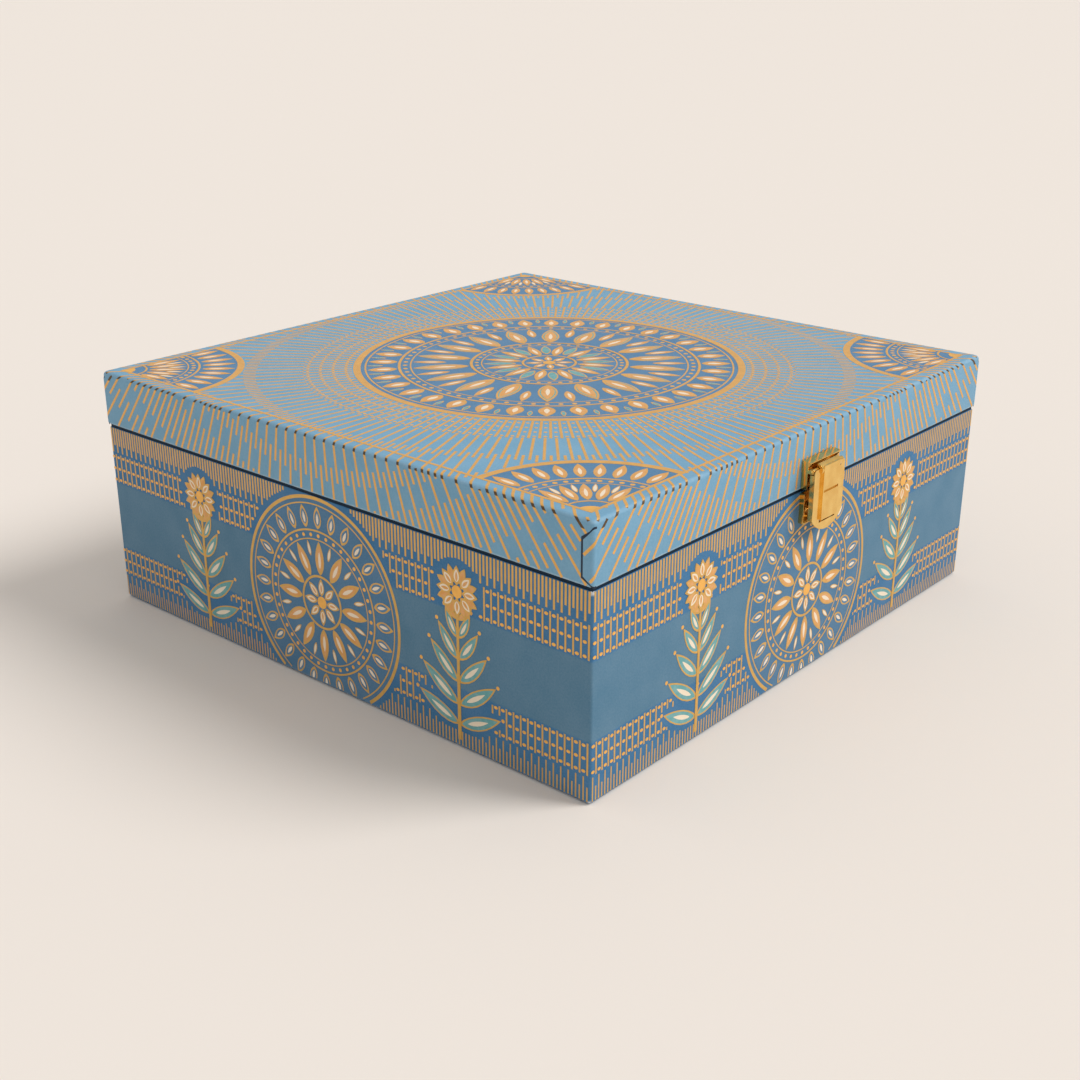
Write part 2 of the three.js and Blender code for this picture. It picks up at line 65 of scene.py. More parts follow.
lid_low, lid_high = span("lid_wrap")
base_low, base_high = span("base_wrap")
lid_half = lid_high[0]
lid_top = lid_high[2]
lid_bottom = lid_low[2]
base_sheet_stand = 0.45
base_foot_drop = 0.9
base_half = base_high[0] + base_sheet_stand
base_top = base_high[2]
turned_under = base_low[2]
base_bottom = turned_under - base_foot_drop
print("lid", lid_half, lid_bottom, lid_top, "base", base_half, base_bottom, base_top)

# %% [markdown]
# ## The camera
# The photograph looks down on the corner between the left side and the front. Its place and lens were worked
# out from the box's own corners, so the camera is set from those numbers and not aimed by eye.

# %% Camera


def new_object(name, data):
    made = bpy.data.objects.new(name, data)
    bpy.context.scene.collection.objects.link(made)
    return made


def aimed(name, data, forward):
    """A new object that looks along a direction."""
    made = new_object(name, data)
    made.rotation_mode = "QUATERNION"
    made.rotation_quaternion = forward.to_track_quat("-Z", "Y")
    return made


camera_place = Vector((-0.4502, -0.3875, 0.2595))
camera_forward = Vector((0.6993, 0.6097, -0.3732))
camera_data = bpy.data.cameras.new("photo_camera")
camera_data.sensor_width = 36.0
camera_data.lens = 49.95
camera = aimed("photo_camera", camera_data, camera_forward)
camera.location = camera_place
bpy.context.scene.camera = camera
print("camera", tuple(camera_place), camera_data.lens)

# %% [markdown]
# ## Writing shaders as sums
# A finish is a small network of nodes. Wrapping a socket in a class lets the network be written as ordinary
# arithmetic: adding two wires adds a Math node. Any other node comes from one method, which sets the node's
# own settings first and then its sockets.

# %% Shader arithmetic


def srgb(red, green, blue):
    """A colour in display values from 0 to 255, as the linear values that a shader takes."""
    def linear(value):
        share = value / 255
        return share / 12.92 if share <= 0.04045 else ((share + 0.055) / 1.055) ** 2.4
    return (linear(red), linear(green), linear(blue), 1.0)


white = (1.0, 1.0, 1.0, 1.0)


def sign(operation):
    """An operator and its reflected form, for a number on the right or on the left of a wire."""
    def plain(self, other):
        return self.maths(operation, self, other)

    def reflected(self, other):
        return self.maths(operation, other, self)

    return plain, reflected


class Wire:
    """One output of a shader node, used like a number."""

    def __init__(self, finish, socket):
        self.finish = finish
        self.socket = socket

    def maths(self, operation, *values):
        return self.finish.node("ShaderNodeMath", {"operation": operation}, dict(enumerate(values)))

    __add__, __radd__ = sign("ADD")
    __sub__, __rsub__ = sign("SUBTRACT")
    __mul__, __rmul__ = sign("MULTIPLY")
    __truediv__, __rtruediv__ = sign("DIVIDE")
    __pow__, __rpow__ = sign("POWER")

    def __abs__(self):
        return self.maths("ABSOLUTE", self)

    def __lt__(self, other):
        return self.maths("LESS_THAN", self, other)

    def __gt__(self, other):
        return self.maths("GREATER_THAN", self, other)

    def most(self, other):
        return self.maths("MAXIMUM", self, other)

    def least(self, other):
        return self.maths("MINIMUM", self, other)

    def rise(self, low, high):
        """0 below low, 1 above high and smooth between."""
        sockets = {"Value": self, "From Min": low, "From Max": high}
        return self.finish.node("ShaderNodeMapRange", {"interpolation_type": "SMOOTHSTEP"}, sockets)

    def output(self, name):
        return Wire(self.finish, self.socket.node.outputs[name])


print("shader arithmetic ready")

# %% Finishes


class Finish:
    """A material and the means to write its nodes."""

    def __init__(self, name):
        self.material = bpy.data.materials.new(name)
        self.material.use_nodes = True
        self.tree = self.material.node_tree
        self.surface = self.tree.nodes["Principled BSDF"]

    def node(self, kind, settings=None, sockets=None, output=0):
        made = self.tree.nodes.new(kind)
        for name, value in (settings or {}).items():
            setattr(made, name, value)
        for name, value in (sockets or {}).items():
            self.plug(made.inputs[name], value)
        return Wire(self, made.outputs[output])

    def plug(self, socket, value):
        if isinstance(value, Wire):
            self.tree.links.new(value.socket, socket)
        else:
            socket.default_value = value

    def set(self, sockets):
        for name, value in sockets.items():
            self.plug(self.surface.inputs[name], value)
        return self

    def spot(self):
        """The place on the piece, in metres."""
        return self.node("ShaderNodeTexCoord", output="Object")

    def axes(self):
        """The place on the piece as three wires, in millimetres."""
        split = self.node("ShaderNodeSeparateXYZ", sockets={0: self.spot()})
        return [split.output(name) / MM for name in "XYZ"]

    def noise(self, size, detail=3.0, stretch=(1.0, 1.0, 1.0)):
        """Even mottling from 0 to 1, with blots of about this size in millimetres."""
        grid = self.node("ShaderNodeVectorMath", {"operation": "MULTIPLY"}, {0: self.spot(), 1: stretch})
        sockets = {"Vector": grid, "Scale": 1 / (size * MM), "Detail": detail}
        return self.node("ShaderNodeTexNoise", {}, sockets)

    def mix(self, share, first, second):
        return self.node("ShaderNodeMix", {"data_type": "RGBA"}, {0: share, 6: first, 7: second}, 2)

    def bump(self, height, depth, strength=1.0):
        """A bump of this depth in millimetres."""
        sockets = {"Height": height, "Distance": depth * MM, "Strength": strength}
        return self.node("ShaderNodeBump", {}, sockets)


print("finishes can be written")

# %% [markdown]
# ## Printed paper
# The wrap is a coated paper printed in blues. Close up it has a faint mottle, fine fibres under the coating,
# and pale wear with a painted highlight where the sheet is creased over the lid's top edge. A pale painted
# highlight runs along the lid's lower hem, and on the base the turned-in paper and the ledge in the seam are
# painted dark navy as painted shade. The lid's sheet is lighter than the base's, with a mid-blue round in the
# middle and a quarter round in each corner. Those fields are plain shapes, so a few distances in the shader
# draw them, and their edges hide under gold rims made later as real geometry.

# %% Print layout on the lid
border_inset = 5.8
border_half = lid_half - border_inset
medallion_radius = 78.0
corner_field_radius = 48.2
lid_edge_round = 1.6
lid_blue = srgb(119, 167, 196)
medallion_blue = srgb(88, 132, 169)
corner_blue = srgb(86, 131, 168)
crease_and_highlight_blue = srgb(192, 210, 221)


def distance(across, up):
    return (across * across + up * up) ** 0.5


def paper_grain(finish, ground):
    """Faintly mottled ground colour, and the roughness and bump of coated paper."""
    mottle = finish.noise(14.0, 4.0)
    fibre = finish.noise(0.7, 2.0)
    grain = (0.5 * mottle + 0.5 * fibre).rise(0.30, 0.70)
    light = finish.mix(0.04, ground, white)
    dark = finish.mix(0.07, ground, (0.02, 0.05, 0.09, 1.0))
    finish.set({
        "Roughness": 0.50 + 0.12 * fibre,
        "Normal": finish.bump(fibre + 0.6 * mottle, 0.03, 0.25),
        "Specular IOR Level": 0.12,
    })
    return finish.mix(grain, dark, light)


def lid_paper():
    finish = Finish("lid_print_paper")
    x, y, z = finish.axes()
    reach = abs(x).most(abs(y))
    top = z > lid_top - lid_edge_round
    in_medallion = distance(x, y) < medallion_radius
    in_corner = distance(abs(x) - border_half, abs(y) - border_half) < corner_field_radius
    ground = finish.mix(in_medallion * top, lid_blue, medallion_blue)
    ground = finish.mix(in_corner * (reach < border_half) * top, ground, corner_blue)
    colour = paper_grain(finish, ground)
    # Painted highlight: the pale crease blue over the top fold is partly wear and partly a painted highlight,
    # and along the lower hem it is a painted highlight.
    fold = reach.rise(lid_half - 1.3, lid_half - 0.6) * z.rise(lid_top - 1.4, lid_top - 0.7)
    hem_highlight = 1 - z.rise(lid_bottom + 0.4, lid_bottom + 1.0)
    scuffs = finish.noise(2.6, 5.0).rise(0.46, 0.70)
    pale_mix = (0.25 * fold).most(0.75 * hem_highlight) * (0.35 + 0.5 * scuffs)
    return finish.set({"Base Color": finish.mix(pale_mix, colour, crease_and_highlight_blue)})


lid_paper_finish = lid_paper()
print("lid paper:", len(lid_paper_finish.tree.nodes), "nodes")

# %% Print layout on the base
roundel_drop = 41.0
roundel_radius = 41.0
upper_band_end = 24.0
lower_band_start = 52.2
band_blur = 0.5
base_turn_in = 15.0
base_blue = srgb(86, 127, 153)
band_blue = srgb(62, 117, 160)
roundel_blue = srgb(80, 123, 157)
seam_shade_navy = srgb(26, 46, 64)
worn_paper = srgb(226, 224, 219)


def base_paper():
    finish = Finish("base_print_paper")
    x, y, z = finish.axes()
    down = base_top - z
    up = z - base_bottom
    reach = abs(x).most(abs(y))
    across = abs(x).least(abs(y))
    in_roundel = distance(across, down - roundel_drop) < roundel_radius
    upper_band = 1 - down.rise(upper_band_end - band_blur, upper_band_end + band_blur)
    lower_band = down.rise(lower_band_start - band_blur, lower_band_start + band_blur)
    ground = finish.mix(upper_band.most(lower_band), base_blue, band_blue)
    ground = finish.mix(in_roundel * (reach > base_half - 1.0), ground, roundel_blue)
    colour = paper_grain(finish, ground)
    # Painted shade: the turned-in paper and the ledge that rises into the seam are coloured dark navy, in
    # place of the shade between lid and base.
    turn_in_shade = (1 - reach.rise(base_half - 0.5, base_half - 0.25)) * (down < base_turn_in + 5.0)
    colour = finish.mix(turn_in_shade, colour, seam_shade_navy)
    corner = across.rise(base_half - 1.5, base_half - 0.6)
    end = 1 - down.least(up).rise(0.5, 2.0)
    foot = 1 - up.rise(0.5, 2.0)
    scuffs = finish.noise(1.9, 5.0).rise(0.42, 0.62)
    pale_mix = (corner * end).most(0.15 * foot) * (0.45 + 0.55 * scuffs)
    return finish.set({"Base Color": finish.mix(pale_mix * (1 - turn_in_shade), colour, worn_paper)})


base_paper_finish = base_paper()
print("base paper:", len(base_paper_finish.tree.nodes), "nodes")

# %% [markdown]
# ## Foil, inks and lining papers
# The gold is a hot-pressed foil: metallic but brushed dull by the paper under it. Where it crosses the lid's
# top edge it is painted dark, as painted shade for its dark reflection on that round edge, so its colour
# depends on the height within that round edge. The inks are flat colours with a little mottle. The lining is
# a dyed navy paper, and the boards are raw pressed pulp.

# %% Foil and inks
edge_shade_tone = srgb(52, 36, 22)
corner_shade_reach = 1.9


def painted_edge_shade(finish):
    """1 where the foil is painted dark as painted shade: a short way down the lid's round edge, and further
    near a corner.
    """
    x, y, z = finish.axes()
    down = lid_top - z
    near_corner = abs(x).least(abs(y)).rise(lid_half - 12.0, lid_half - 4.0)
    return down.rise(0.16, 0.47) * (1 - (down - corner_shade_reach * near_corner).rise(1.2, 1.45))


def foil_finish(name, gold, shade_edge=False):
    finish = Finish(name)
    mottle = finish.noise(3.0, 4.0)
    colour = finish.mix(mottle.rise(0.3, 0.7), srgb(*[0.95 * value for value in gold]), srgb(*gold))
    # Painted shade: the lid's foil is darkened a short way down its round top edge, standing in for its dark
    # reflection there.
    if shade_edge:
        colour = finish.mix(painted_edge_shade(finish) * 0.9, colour, edge_shade_tone)
    return finish.set({
        "Base Color": colour,
        "Metallic": 0.4,
        "Roughness": 0.40 + 0.12 * mottle,
    })


def ink_finish(name, colour):
    finish = Finish(name)
    mottle = finish.noise(2.2, 4.0)
    pale = finish.mix(0.08, srgb(*colour), white)
    return finish.set({
        "Base Color": finish.mix(mottle.rise(0.35, 0.65), srgb(*colour), pale),
        "Roughness": 0.5 + 0.1 * mottle,
        "Specular IOR Level": 0.2,
    })


lid_foil_finish = foil_finish("lid_gold_foil", (239, 181, 95), shade_edge=True)
base_foil_finish = foil_finish("base_gold_foil", (225, 177, 93))
bead_foil_finish = foil_finish("bright_gold_foil", (253, 190, 92))
tan_ink = ink_finish("tan_ink", (222, 160, 90))
field_ink = ink_finish("field_blue_ink", (82, 125, 159))
teal_ink = ink_finish("teal_ink", (104, 164, 166))
cream_ink = ink_finish("cream_ink", (240, 222, 196))
print("foils and inks ready")

# %% Lining paper, board and card


def fibre_finish(name, dark, light, blot, fibre, roughness):
    """Uncoated paper or board: two tones, drawn-out fibres and a soft tooth."""
    finish = Finish(name)
    cloud = finish.noise(blot, 4.0)
    strands = finish.noise(fibre, 4.0, (1.0, 0.25, 1.0))
    tone = (0.6 * cloud + 0.4 * strands).rise(0.32, 0.68)
    return finish.set({
        "Base Color": finish.mix(tone, srgb(*dark), srgb(*light)),
        "Roughness": roughness - 0.08 * strands,
        "Normal": finish.bump(strands + 0.5 * cloud, 0.05, 0.4),
    })


navy_finish = fibre_finish("navy_lining_paper", (16, 32, 50), (28, 50, 74), 6.0, 0.8, 0.72)
board_finish = fibre_finish("raw_grey_board", (146, 122, 92), (190, 166, 132), 5.0, 0.9, 0.92)
card_finish = fibre_finish("coated_tray_card", (222, 211, 190), (240, 231, 214), 9.0, 0.7, 0.7)
foam_finish = fibre_finish("seal_foam", (226, 224, 216), (244, 243, 238), 2.0, 0.5, 0.85)
print("lining, board, card and foam ready")

# %% [markdown]
# ## Gold metal, tin and glass
# The clasp and hinges are stamped brass with a polished gold plate, so they mirror the blue print beside
# them. Fine polishing marks keep the mirror from looking like plastic. The caps are tinplate under gold
# lacquer. The jars are clear soda glass, which needs real wall thickness in the mesh and little else.

# %% Metal, tin and glass


def gold_plate():
    finish = Finish("polished_gold_plate")
    smear = finish.noise(5.0, 4.0)
    marks = finish.noise(0.5, 3.0, (1.0, 1.0, 0.08))
    return finish.set({
        "Base Color": finish.mix(smear.rise(0.3, 0.7), srgb(236, 190, 104), srgb(248, 208, 124)),
        "Metallic": 1.0,
        "Roughness": 0.12 + 0.10 * smear,
        "Normal": finish.bump(marks, 0.004, 0.35),
    })


def cap_tin():
    finish = Finish("gold_lacquered_tin")
    smear = finish.noise(9.0, 4.0)
    marks = finish.noise(0.8, 3.0, (0.1, 1.0, 1.0))
    return finish.set({
        "Base Color": finish.mix(smear.rise(0.3, 0.7), srgb(204, 164, 92), srgb(220, 182, 112)),
        "Metallic": 0.9,
        "Roughness": 0.24 + 0.10 * smear,
        "Normal": finish.bump(marks, 0.01, 0.3),
        "Coat Weight": 0.4,
        "Coat Roughness": 0.12,
    })


def jar_glass():
    finish = Finish("clear_jar_glass")
    ripple = finish.noise(16.0, 2.0)
    return finish.set({
        "Base Color": (0.97, 0.985, 0.98, 1.0),
        "Roughness": 0.02,
        "IOR": 1.5,
        "Transmission Weight": 1.0,
        "Normal": finish.bump(ripple, 0.25, 0.25),
    })


gold_finish = gold_plate()
tin_finish = cap_tin()
glass_finish = jar_glass()
print("gold, tin and glass ready")

# %% [markdown]
# ## Making pieces
# Every mesh here is written in millimetres and turned to metres once, when it becomes a piece. A piece rides
# on a body of the frame, names the material slot that it belongs to, and says which plain nodes it stands
# for.

# %% Piece helpers


def mesh_from(name, points, faces, smooth_below=None):
    mesh = bpy.data.meshes.new(name)
    mesh.from_pydata([(x * MM, y * MM, z * MM) for x, y, z in points], [], faces)
    if smooth_below is not None:
        shade_smooth(mesh, smooth_below)
    mesh.update()
    return mesh


def shade_smooth(mesh, below):
    """Smooth shading, but for edges sharper than an angle in degrees."""
    mesh.polygons.foreach_set("use_smooth", [True] * len(mesh.polygons))
    mesh.set_sharp_from_angle(angle=math.radians(below))


def add_piece(mesh, finish, body, replaces=()):
    piece = new_object(mesh.name, mesh)
    mesh.materials.append(finish.material)
    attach(piece, body)
    if replaces:
        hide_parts(*replaces)


def wear(finish, *nodes):
    """A plain node keeps its shape and takes this finish."""
    for node in nodes:
        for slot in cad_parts[node].material_slots:
            slot.material = finish.material


print("piece helpers ready")

# %% Outlines


def from_centre(centre, radius, angle):
    """A point at a radius and an angle in degrees."""
    turn = math.radians(angle)
    return (centre[0] + radius * math.cos(turn), centre[1] + radius * math.sin(turn))


def arc(centre, radius, start, end, steps):
    """Points on an arc between two angles in degrees."""
    return [from_centre(centre, radius, start + (end - start) * i / steps) for i in range(steps + 1)]


def circle(centre, radius, sides):
    return arc(centre, radius, 0, 360, sides)[:-1]


def soft_square(half, corner, steps=5):
    """A square outline with round corners, anticlockwise."""
    inner = half - corner
    quarters = [(inner, inner, 0), (-inner, inner, 90), (-inner, -inner, 180), (inner, -inner, 270)]
    return [p for x, y, turn in quarters for p in arc((x, y), corner, turn, turn + 90, steps)]


print("a soft square has", len(soft_square(10.0, 1.0)), "points")

# %% Skins


def outward(points, faces):
    """The same mesh with its faces turned outward."""
    mesh = bmesh.new()
    made = [mesh.verts.new(point) for point in points]
    for face in faces:
        mesh.faces.new([made[i] for i in face])
    bmesh.ops.recalc_face_normals(mesh, faces=mesh.faces)
    mesh.verts.index_update()
    facing = [tuple(v.index for v in face.verts) for face in mesh.faces]
    mesh.free()
    return points, facing


def sides_between(rows):
    """Faces from each row of point numbers to the next. A row at a pole repeats one number."""
    faces = []
    for lower, upper in zip(rows, rows[1:]):
        for i in range(len(lower)):
            face = (lower[i - 1], lower[i], upper[i], upper[i - 1])
            faces.append(tuple(dict.fromkeys(face)))
    return faces


def loft(rings, closed=False):
    """A skin through rings of as many points each, flat at both ends or closed from last to first."""
    count = len(rings[0])
    points = [point for ring in rings for point in ring]
    rows = [tuple(range(k * count, (k + 1) * count)) for k in range(len(rings))]
    if closed:
        return outward(points, sides_between([*rows, rows[0]]))
    return outward(points, [rows[0], rows[-1], *sides_between(rows)])


print("skin helpers ready")

# %% [markdown]
# ## The wraps
# Each wrap is one sheet folded round the boards: over the outside, round the edge and a little way up the
# inside. A loft does this well: a list of square rings follows the sheet's section, from the middle of the
# outside to the end of the turn-in and back along its hidden side, so the paper has a real thickness.

# %% Wraps of the lid and the base
paper = 0.6
fold_angle = 35
fold_steps = 6
turn_steps = 3
lining_gap = 0.25
inner_corner = 0.4
corner_taper = 0.4
lid_corner_round = 1.5
lid_corner_least = 0.5
lid_mouth = span("lid_top_lining")[1][0] + lining_gap
lid_turn_in_top = span("lid_top_lining")[1][2]
hem_round = 0.55
base_corner_round = 1.1
foot_round = 1.5
foot_steps = 5
foot_lip_gap = 0.3
rim_round = 0.4
rim_width = 0.5
seam_ledge = lid_bottom - 0.3


def with_corners(line, half_width, corner, least=inner_corner):
    """Rows of half width, height and corner radius. The radius shrinks as the sheet turns in."""
    return [(half, z, max(corner - (half_width - half) * corner_taper, least)) for half, z in line]


def rings_from(section):
    """Square rings from rows of half width, height and corner radius."""
    return [[(x, y, z) for x, y in soft_square(half, corner)] for half, z, corner in section]


def lid_wrap_section():
    centre = (lid_half - lid_edge_round, lid_top - lid_edge_round)
    outside = arc(centre, lid_edge_round, 90, 0, fold_steps)
    outside += arc((lid_half - hem_round, lid_bottom + hem_round), hem_round, 0, -90, turn_steps)
    inside = arc((lid_mouth + hem_round, lid_bottom + hem_round), hem_round, 270, 180, turn_steps)
    inside += [
        (lid_mouth, lid_turn_in_top),
        (lid_mouth + paper, lid_turn_in_top),
        (lid_mouth + paper, lid_bottom + paper),
        (lid_half - paper, lid_bottom + paper),
    ]
    inside += arc(centre, lid_edge_round - paper, 0, 90, fold_steps)
    rows = with_corners(outside, lid_half, lid_corner_round, lid_corner_least)
    return rows + with_corners(inside, lid_half, inner_corner)


def base_wrap_section():
    mouth = span("neck_front_board")[1][0] + lining_gap
    lip = span("base_bottom_sheet")[1][0] + foot_lip_gap
    under = base_half - base_turn_in
    turn_in_low = base_top - base_turn_in
    outside = [(under, turned_under), (lip, turned_under), (lip, base_bottom)]
    outside += arc((base_half - foot_round, base_bottom + foot_round), foot_round, -90, 0, foot_steps)
    outside += arc((base_half - rim_round, base_top - rim_round), rim_round, 0, 90, turn_steps)
    # The rim's inner edge rises to a ledge just under the lid, which the base paper colours dark navy as
    # painted shade in the seam.
    inside = [(base_half - rim_width, base_top), (base_half - rim_width - 0.05, seam_ledge)]
    inside += arc((mouth + rim_round, seam_ledge - rim_round), rim_round, 90, 180, turn_steps)
    inside += [
        (mouth, turn_in_low),
        (mouth + paper, turn_in_low),
        (mouth + paper, base_top - paper),
        (base_half - paper, base_top - paper),
        (base_half - paper, turned_under + paper),
        (under, turned_under + paper),
    ]
    rows = with_corners(outside, base_half, base_corner_round)
    return rows + with_corners(inside, base_half, inner_corner)


lid_skin = loft(rings_from(lid_wrap_section()))
base_skin = loft(rings_from(base_wrap_section()), closed=True)
lid_mesh = mesh_from("lid_wrap_paper", *lid_skin, smooth_below=fold_angle)
base_mesh = mesh_from("base_wrap_paper", *base_skin, smooth_below=fold_angle)
add_piece(lid_mesh, lid_paper_finish, "lid", ["lid_wrap"])
add_piece(base_mesh, base_paper_finish, "base", ["base_wrap"])
print("wraps:", len(lid_mesh.polygons), "and", len(base_mesh.polygons), "faces")

# %% [markdown]
# ## Laying foil on a folded sheet
# The foil was pressed on the flat sheet before it was folded, so its lines run on over the edges. The same is
# done here: a shape is drawn flat, and a function says where each flat point ends up on the folded paper. A
# shader could draw the lines too, but thin closed solids stay sharp at any size.

# %% Where a flat point goes
lap_reach = 3.9
lap_sheet = 0.28
lap_start = 2.7
lap_start_fall = 4.0
lap_end = 21.3
lap_end_rise = 2.6


def lap_edges(reach):
    """The depth below the lid's top at which a corner lap starts and ends, this far round the corner."""
    along = max(reach, 0.0) / lap_reach
    return lap_start + lap_start_fall * along, lap_end - lap_end_rise * along


def round_corner(reach, depth, lift):
    """A point on the front left corner of the lid, reach millimetres round onto the left side."""
    radius = lid_corner_round
    if reach >= radius:
        return (-lid_half - lift, -lid_half + reach, lid_top - depth)
    turn = math.radians(min((radius - reach) / (2 * radius), 1.0) * 90)
    shrink = lid_half - radius
    beyond = min(reach + radius, 0.0)
    x = -shrink - (radius + lift) * math.cos(turn) - beyond
    y = -shrink - (radius + lift) * math.sin(turn)
    return (x, y, lid_top - depth)


def lapping(u, v):
    """A point's distances out along the sheet that laps round its corner and along the sheet under the lap.

    The front laps onto the two sides, and the sides lap onto the back."""
    return (abs(v), abs(u)) if v < 0 else (abs(u), abs(v))


def on_lid(u, v, lift):
    """A point of the flat lid sheet, u and v from its middle, on the folded lid."""
    flat = lid_half - lid_edge_round
    over = max(abs(u), abs(v)) - flat
    upper, lower = lapping(u, v)
    if upper > lid_half and lower > lid_half - lid_corner_round:
        reach = lower - lid_half
        raised = lift + lap_sheet * min(1.0, (reach + lid_corner_round) / lid_corner_round)
        side, front, z = round_corner(reach, upper - lid_half, raised)
        x, y = (side, front) if v < 0 else (front, side)
        return (math.copysign(x, u), math.copysign(y, v), z)
    if over <= 0:
        return (u, v, lid_top + lift)
    turn = math.radians(min(over / (2 * lid_edge_round), 1.0) * 90)
    out = flat + (lid_edge_round + lift) * math.sin(turn)
    drop = max(over - 2 * lid_edge_round, 0.0)
    z = lid_top - lid_edge_round + (lid_edge_round + lift) * math.cos(turn) - drop
    if abs(v) >= abs(u):
        return (u, math.copysign(out, v), z)
    return (math.copysign(out, u), v, z)


def on_wall(turn):
    """For a base wall, the front one turned by this many degrees: across from its middle, up from its top."""
    c = round(math.cos(math.radians(turn)))
    s = round(math.sin(math.radians(turn)))

    def place(u, v, lift):
        out = -(base_half + lift)
        return (c * u - s * out, s * u + c * out, base_top + v)

    return place


walls = [on_wall(turn) for turn in (0, 90, 180, 270)]
print("front wall middle", walls[0](0, 0, 0), "lid edge", on_lid(0, -lid_half, 0))

# %% Thin shapes
sink = 0.03
level_step = 0.006
hair = 0.0003
hair_count = 16


def unit(u, v):
    size = math.hypot(u, v) or 1.0
    return u / size, v / size


def offsets(line, closed):
    """At each point of a line, the sideways direction that keeps its width round a bend."""
    count = len(line)
    made = []
    for i, (u, v) in enumerate(line):
        before = line[i - 1] if closed or i > 0 else None
        after = line[(i + 1) % count] if closed or i + 1 < count else None
        steps = []
        if before:
            steps.append(unit(u - before[0], v - before[1]))
        if after:
            steps.append(unit(after[0] - u, after[1] - v))
        along = unit(sum(s[0] for s in steps), sum(s[1] for s in steps))
        stretch = 1 / max(along[0] * steps[0][0] + along[1] * steps[0][1], 0.5)
        made.append((-along[1] * stretch, along[0] * stretch))
    return made


class Inlay:
    """Thin closed shapes of one finish, gathered into one mesh. A shape on a higher level covers those below.
    Shapes of one level differ by a hair, so two that cross don't have their faces in one plane."""

    def __init__(self, thickness):
        self.thickness = thickness
        self.drawn = 0
        self.points = []
        self.faces = []

    def height(self, level):
        self.drawn += 1
        return self.thickness + level_step * level + hair * (self.drawn % hair_count)

    def band(self, place, line, width, closed=False, level=0):
        """A flat ribbon along a line. Width is one number, or one for each point."""
        first = len(self.points)
        count = len(line)
        height = self.height(level)
        widths = width if isinstance(width, list) else [width] * count
        for (u, v), (du, dv), wide in zip(line, offsets(line, closed), widths):
            half = wide / 2
            left = (u + du * half, v + dv * half)
            right = (u - du * half, v - dv * half)
            self.points.append(place(*right, height))
            self.points.append(place(*left, height))
            self.points.append(place(*left, -sink))
            self.points.append(place(*right, -sink))
        for i in range(count if closed else count - 1):
            a = first + 4 * i
            b = first + 4 * ((i + 1) % count)
            for k in range(4):
                m = (k + 1) % 4
                self.faces.append((a + k, b + k, b + m, a + m))
        if not closed:
            last = first + 4 * (count - 1)
            self.faces.append((first, first + 1, first + 2, first + 3))
            self.faces.append((last + 3, last + 2, last + 1, last))

    def patch(self, place, outline, level=0):
        """A filled shape inside an anticlockwise outline."""
        first = len(self.points)
        count = len(outline)
        height = self.height(level)
        self.points += [place(u, v, height) for u, v in outline]
        self.points += [place(u, v, -sink) for u, v in outline]
        self.faces.append(tuple(range(first, first + count)))
        self.faces.append(tuple(reversed(range(first + count, first + 2 * count))))
        for i in range(count):
            j = (i + 1) % count
            self.faces.append((first + count + i, first + count + j, first + j, first + i))

    def piece(self, name, finish, body):
        mesh = mesh_from(name, self.points, self.faces)
        print(name, len(mesh.polygons), "faces")
        add_piece(mesh, finish, body)


def kept_runs(line, keep):
    """The stretches of a line whose points are kept."""
    runs = [[]]
    for point in line:
        if keep(*point):
            runs[-1].append(point)
        elif runs[-1]:
            runs.append([])
    return [run for run in runs if len(run) > 1]


def straight(start, end, step):
    count = max(1, math.ceil(math.dist(start, end) / step))
    return [tuple(a + (b - a) * i / count for a, b in zip(start, end)) for i in range(count + 1)]


print("inlay helpers ready")

# %% [markdown]
# ## The lid's sunburst, border and rims
# Gold dashes radiate from the middle of the lid in two sets that step past each other, like sun rays. They
# run across the top, over the edges and down the sides. They stop at the middle round and the corner fields,
# which a test on each point decides. Next to the middle round the second set is a row of beads.

# %% Sunburst
ray_count = 160
ray_width = 1.03
dash_sets = [
    (0.25, 80.0, 99.5), (0.75, 99.2, 122.8), (0.25, 118.0, 142.6),
    (0.75, 137.2, 168.3), (0.25, 150.8, 183.0), (0.75, 175.6, 212.0),
]
ray_step = 0.4
ray_clear = 0.4
ray_corner_gap = 2.2
ray_lap_gap = 1.05
ray_mitre_gap = 0.8
ray_front_end = 1.0
ray_lap_edge = 0.2
bend_margin = 0.6
corner_bend = 2.5
lid_drop = lid_top - lid_bottom
medallion_rim = 3.0
corner_rim = 2.9
foil = 0.04


def shows_ray(u, v):
    if math.hypot(u, v) < medallion_radius + medallion_rim / 2:
        return False
    corner = (abs(u) - border_half, abs(v) - border_half)
    if max(corner) < 0 and math.hypot(*corner) < corner_field_radius + ray_clear:
        return False
    depth = max(abs(u), abs(v)) - lid_half
    if depth <= lid_edge_round:
        return min(abs(u), abs(v)) < lid_half - ray_corner_gap
    if depth > lid_drop - ray_clear:
        return False
    upper, lower = lapping(u, v)
    if upper > lid_half:
        reach = lower - lid_half
        start, end = lap_edges(reach)
        on_lap = reach < lap_reach - ray_lap_edge and start + ray_clear < depth < end - ray_clear
        return reach < -ray_front_end or on_lap
    reach = lid_half - upper
    start, end = lap_edges(reach)
    on_mitre = start - ray_mitre_gap < depth < end + ray_mitre_gap
    return reach > lap_reach + ray_lap_gap or (reach > ray_mitre_gap and not on_mitre)


def bends(u, v):
    """True where the sheet curves, so that a line needs close points."""
    over = abs(max(abs(u), abs(v)) - lid_half) < lid_edge_round + bend_margin
    upper, lower = lapping(u, v)
    return over or (upper > lid_half and abs(lower - lid_half) < corner_bend)


def thinned(run):
    """A run of close points, with only its ends where the sheet is flat."""
    return [p for i, p in enumerate(run) if i in (0, len(run) - 1) or bends(*p)]


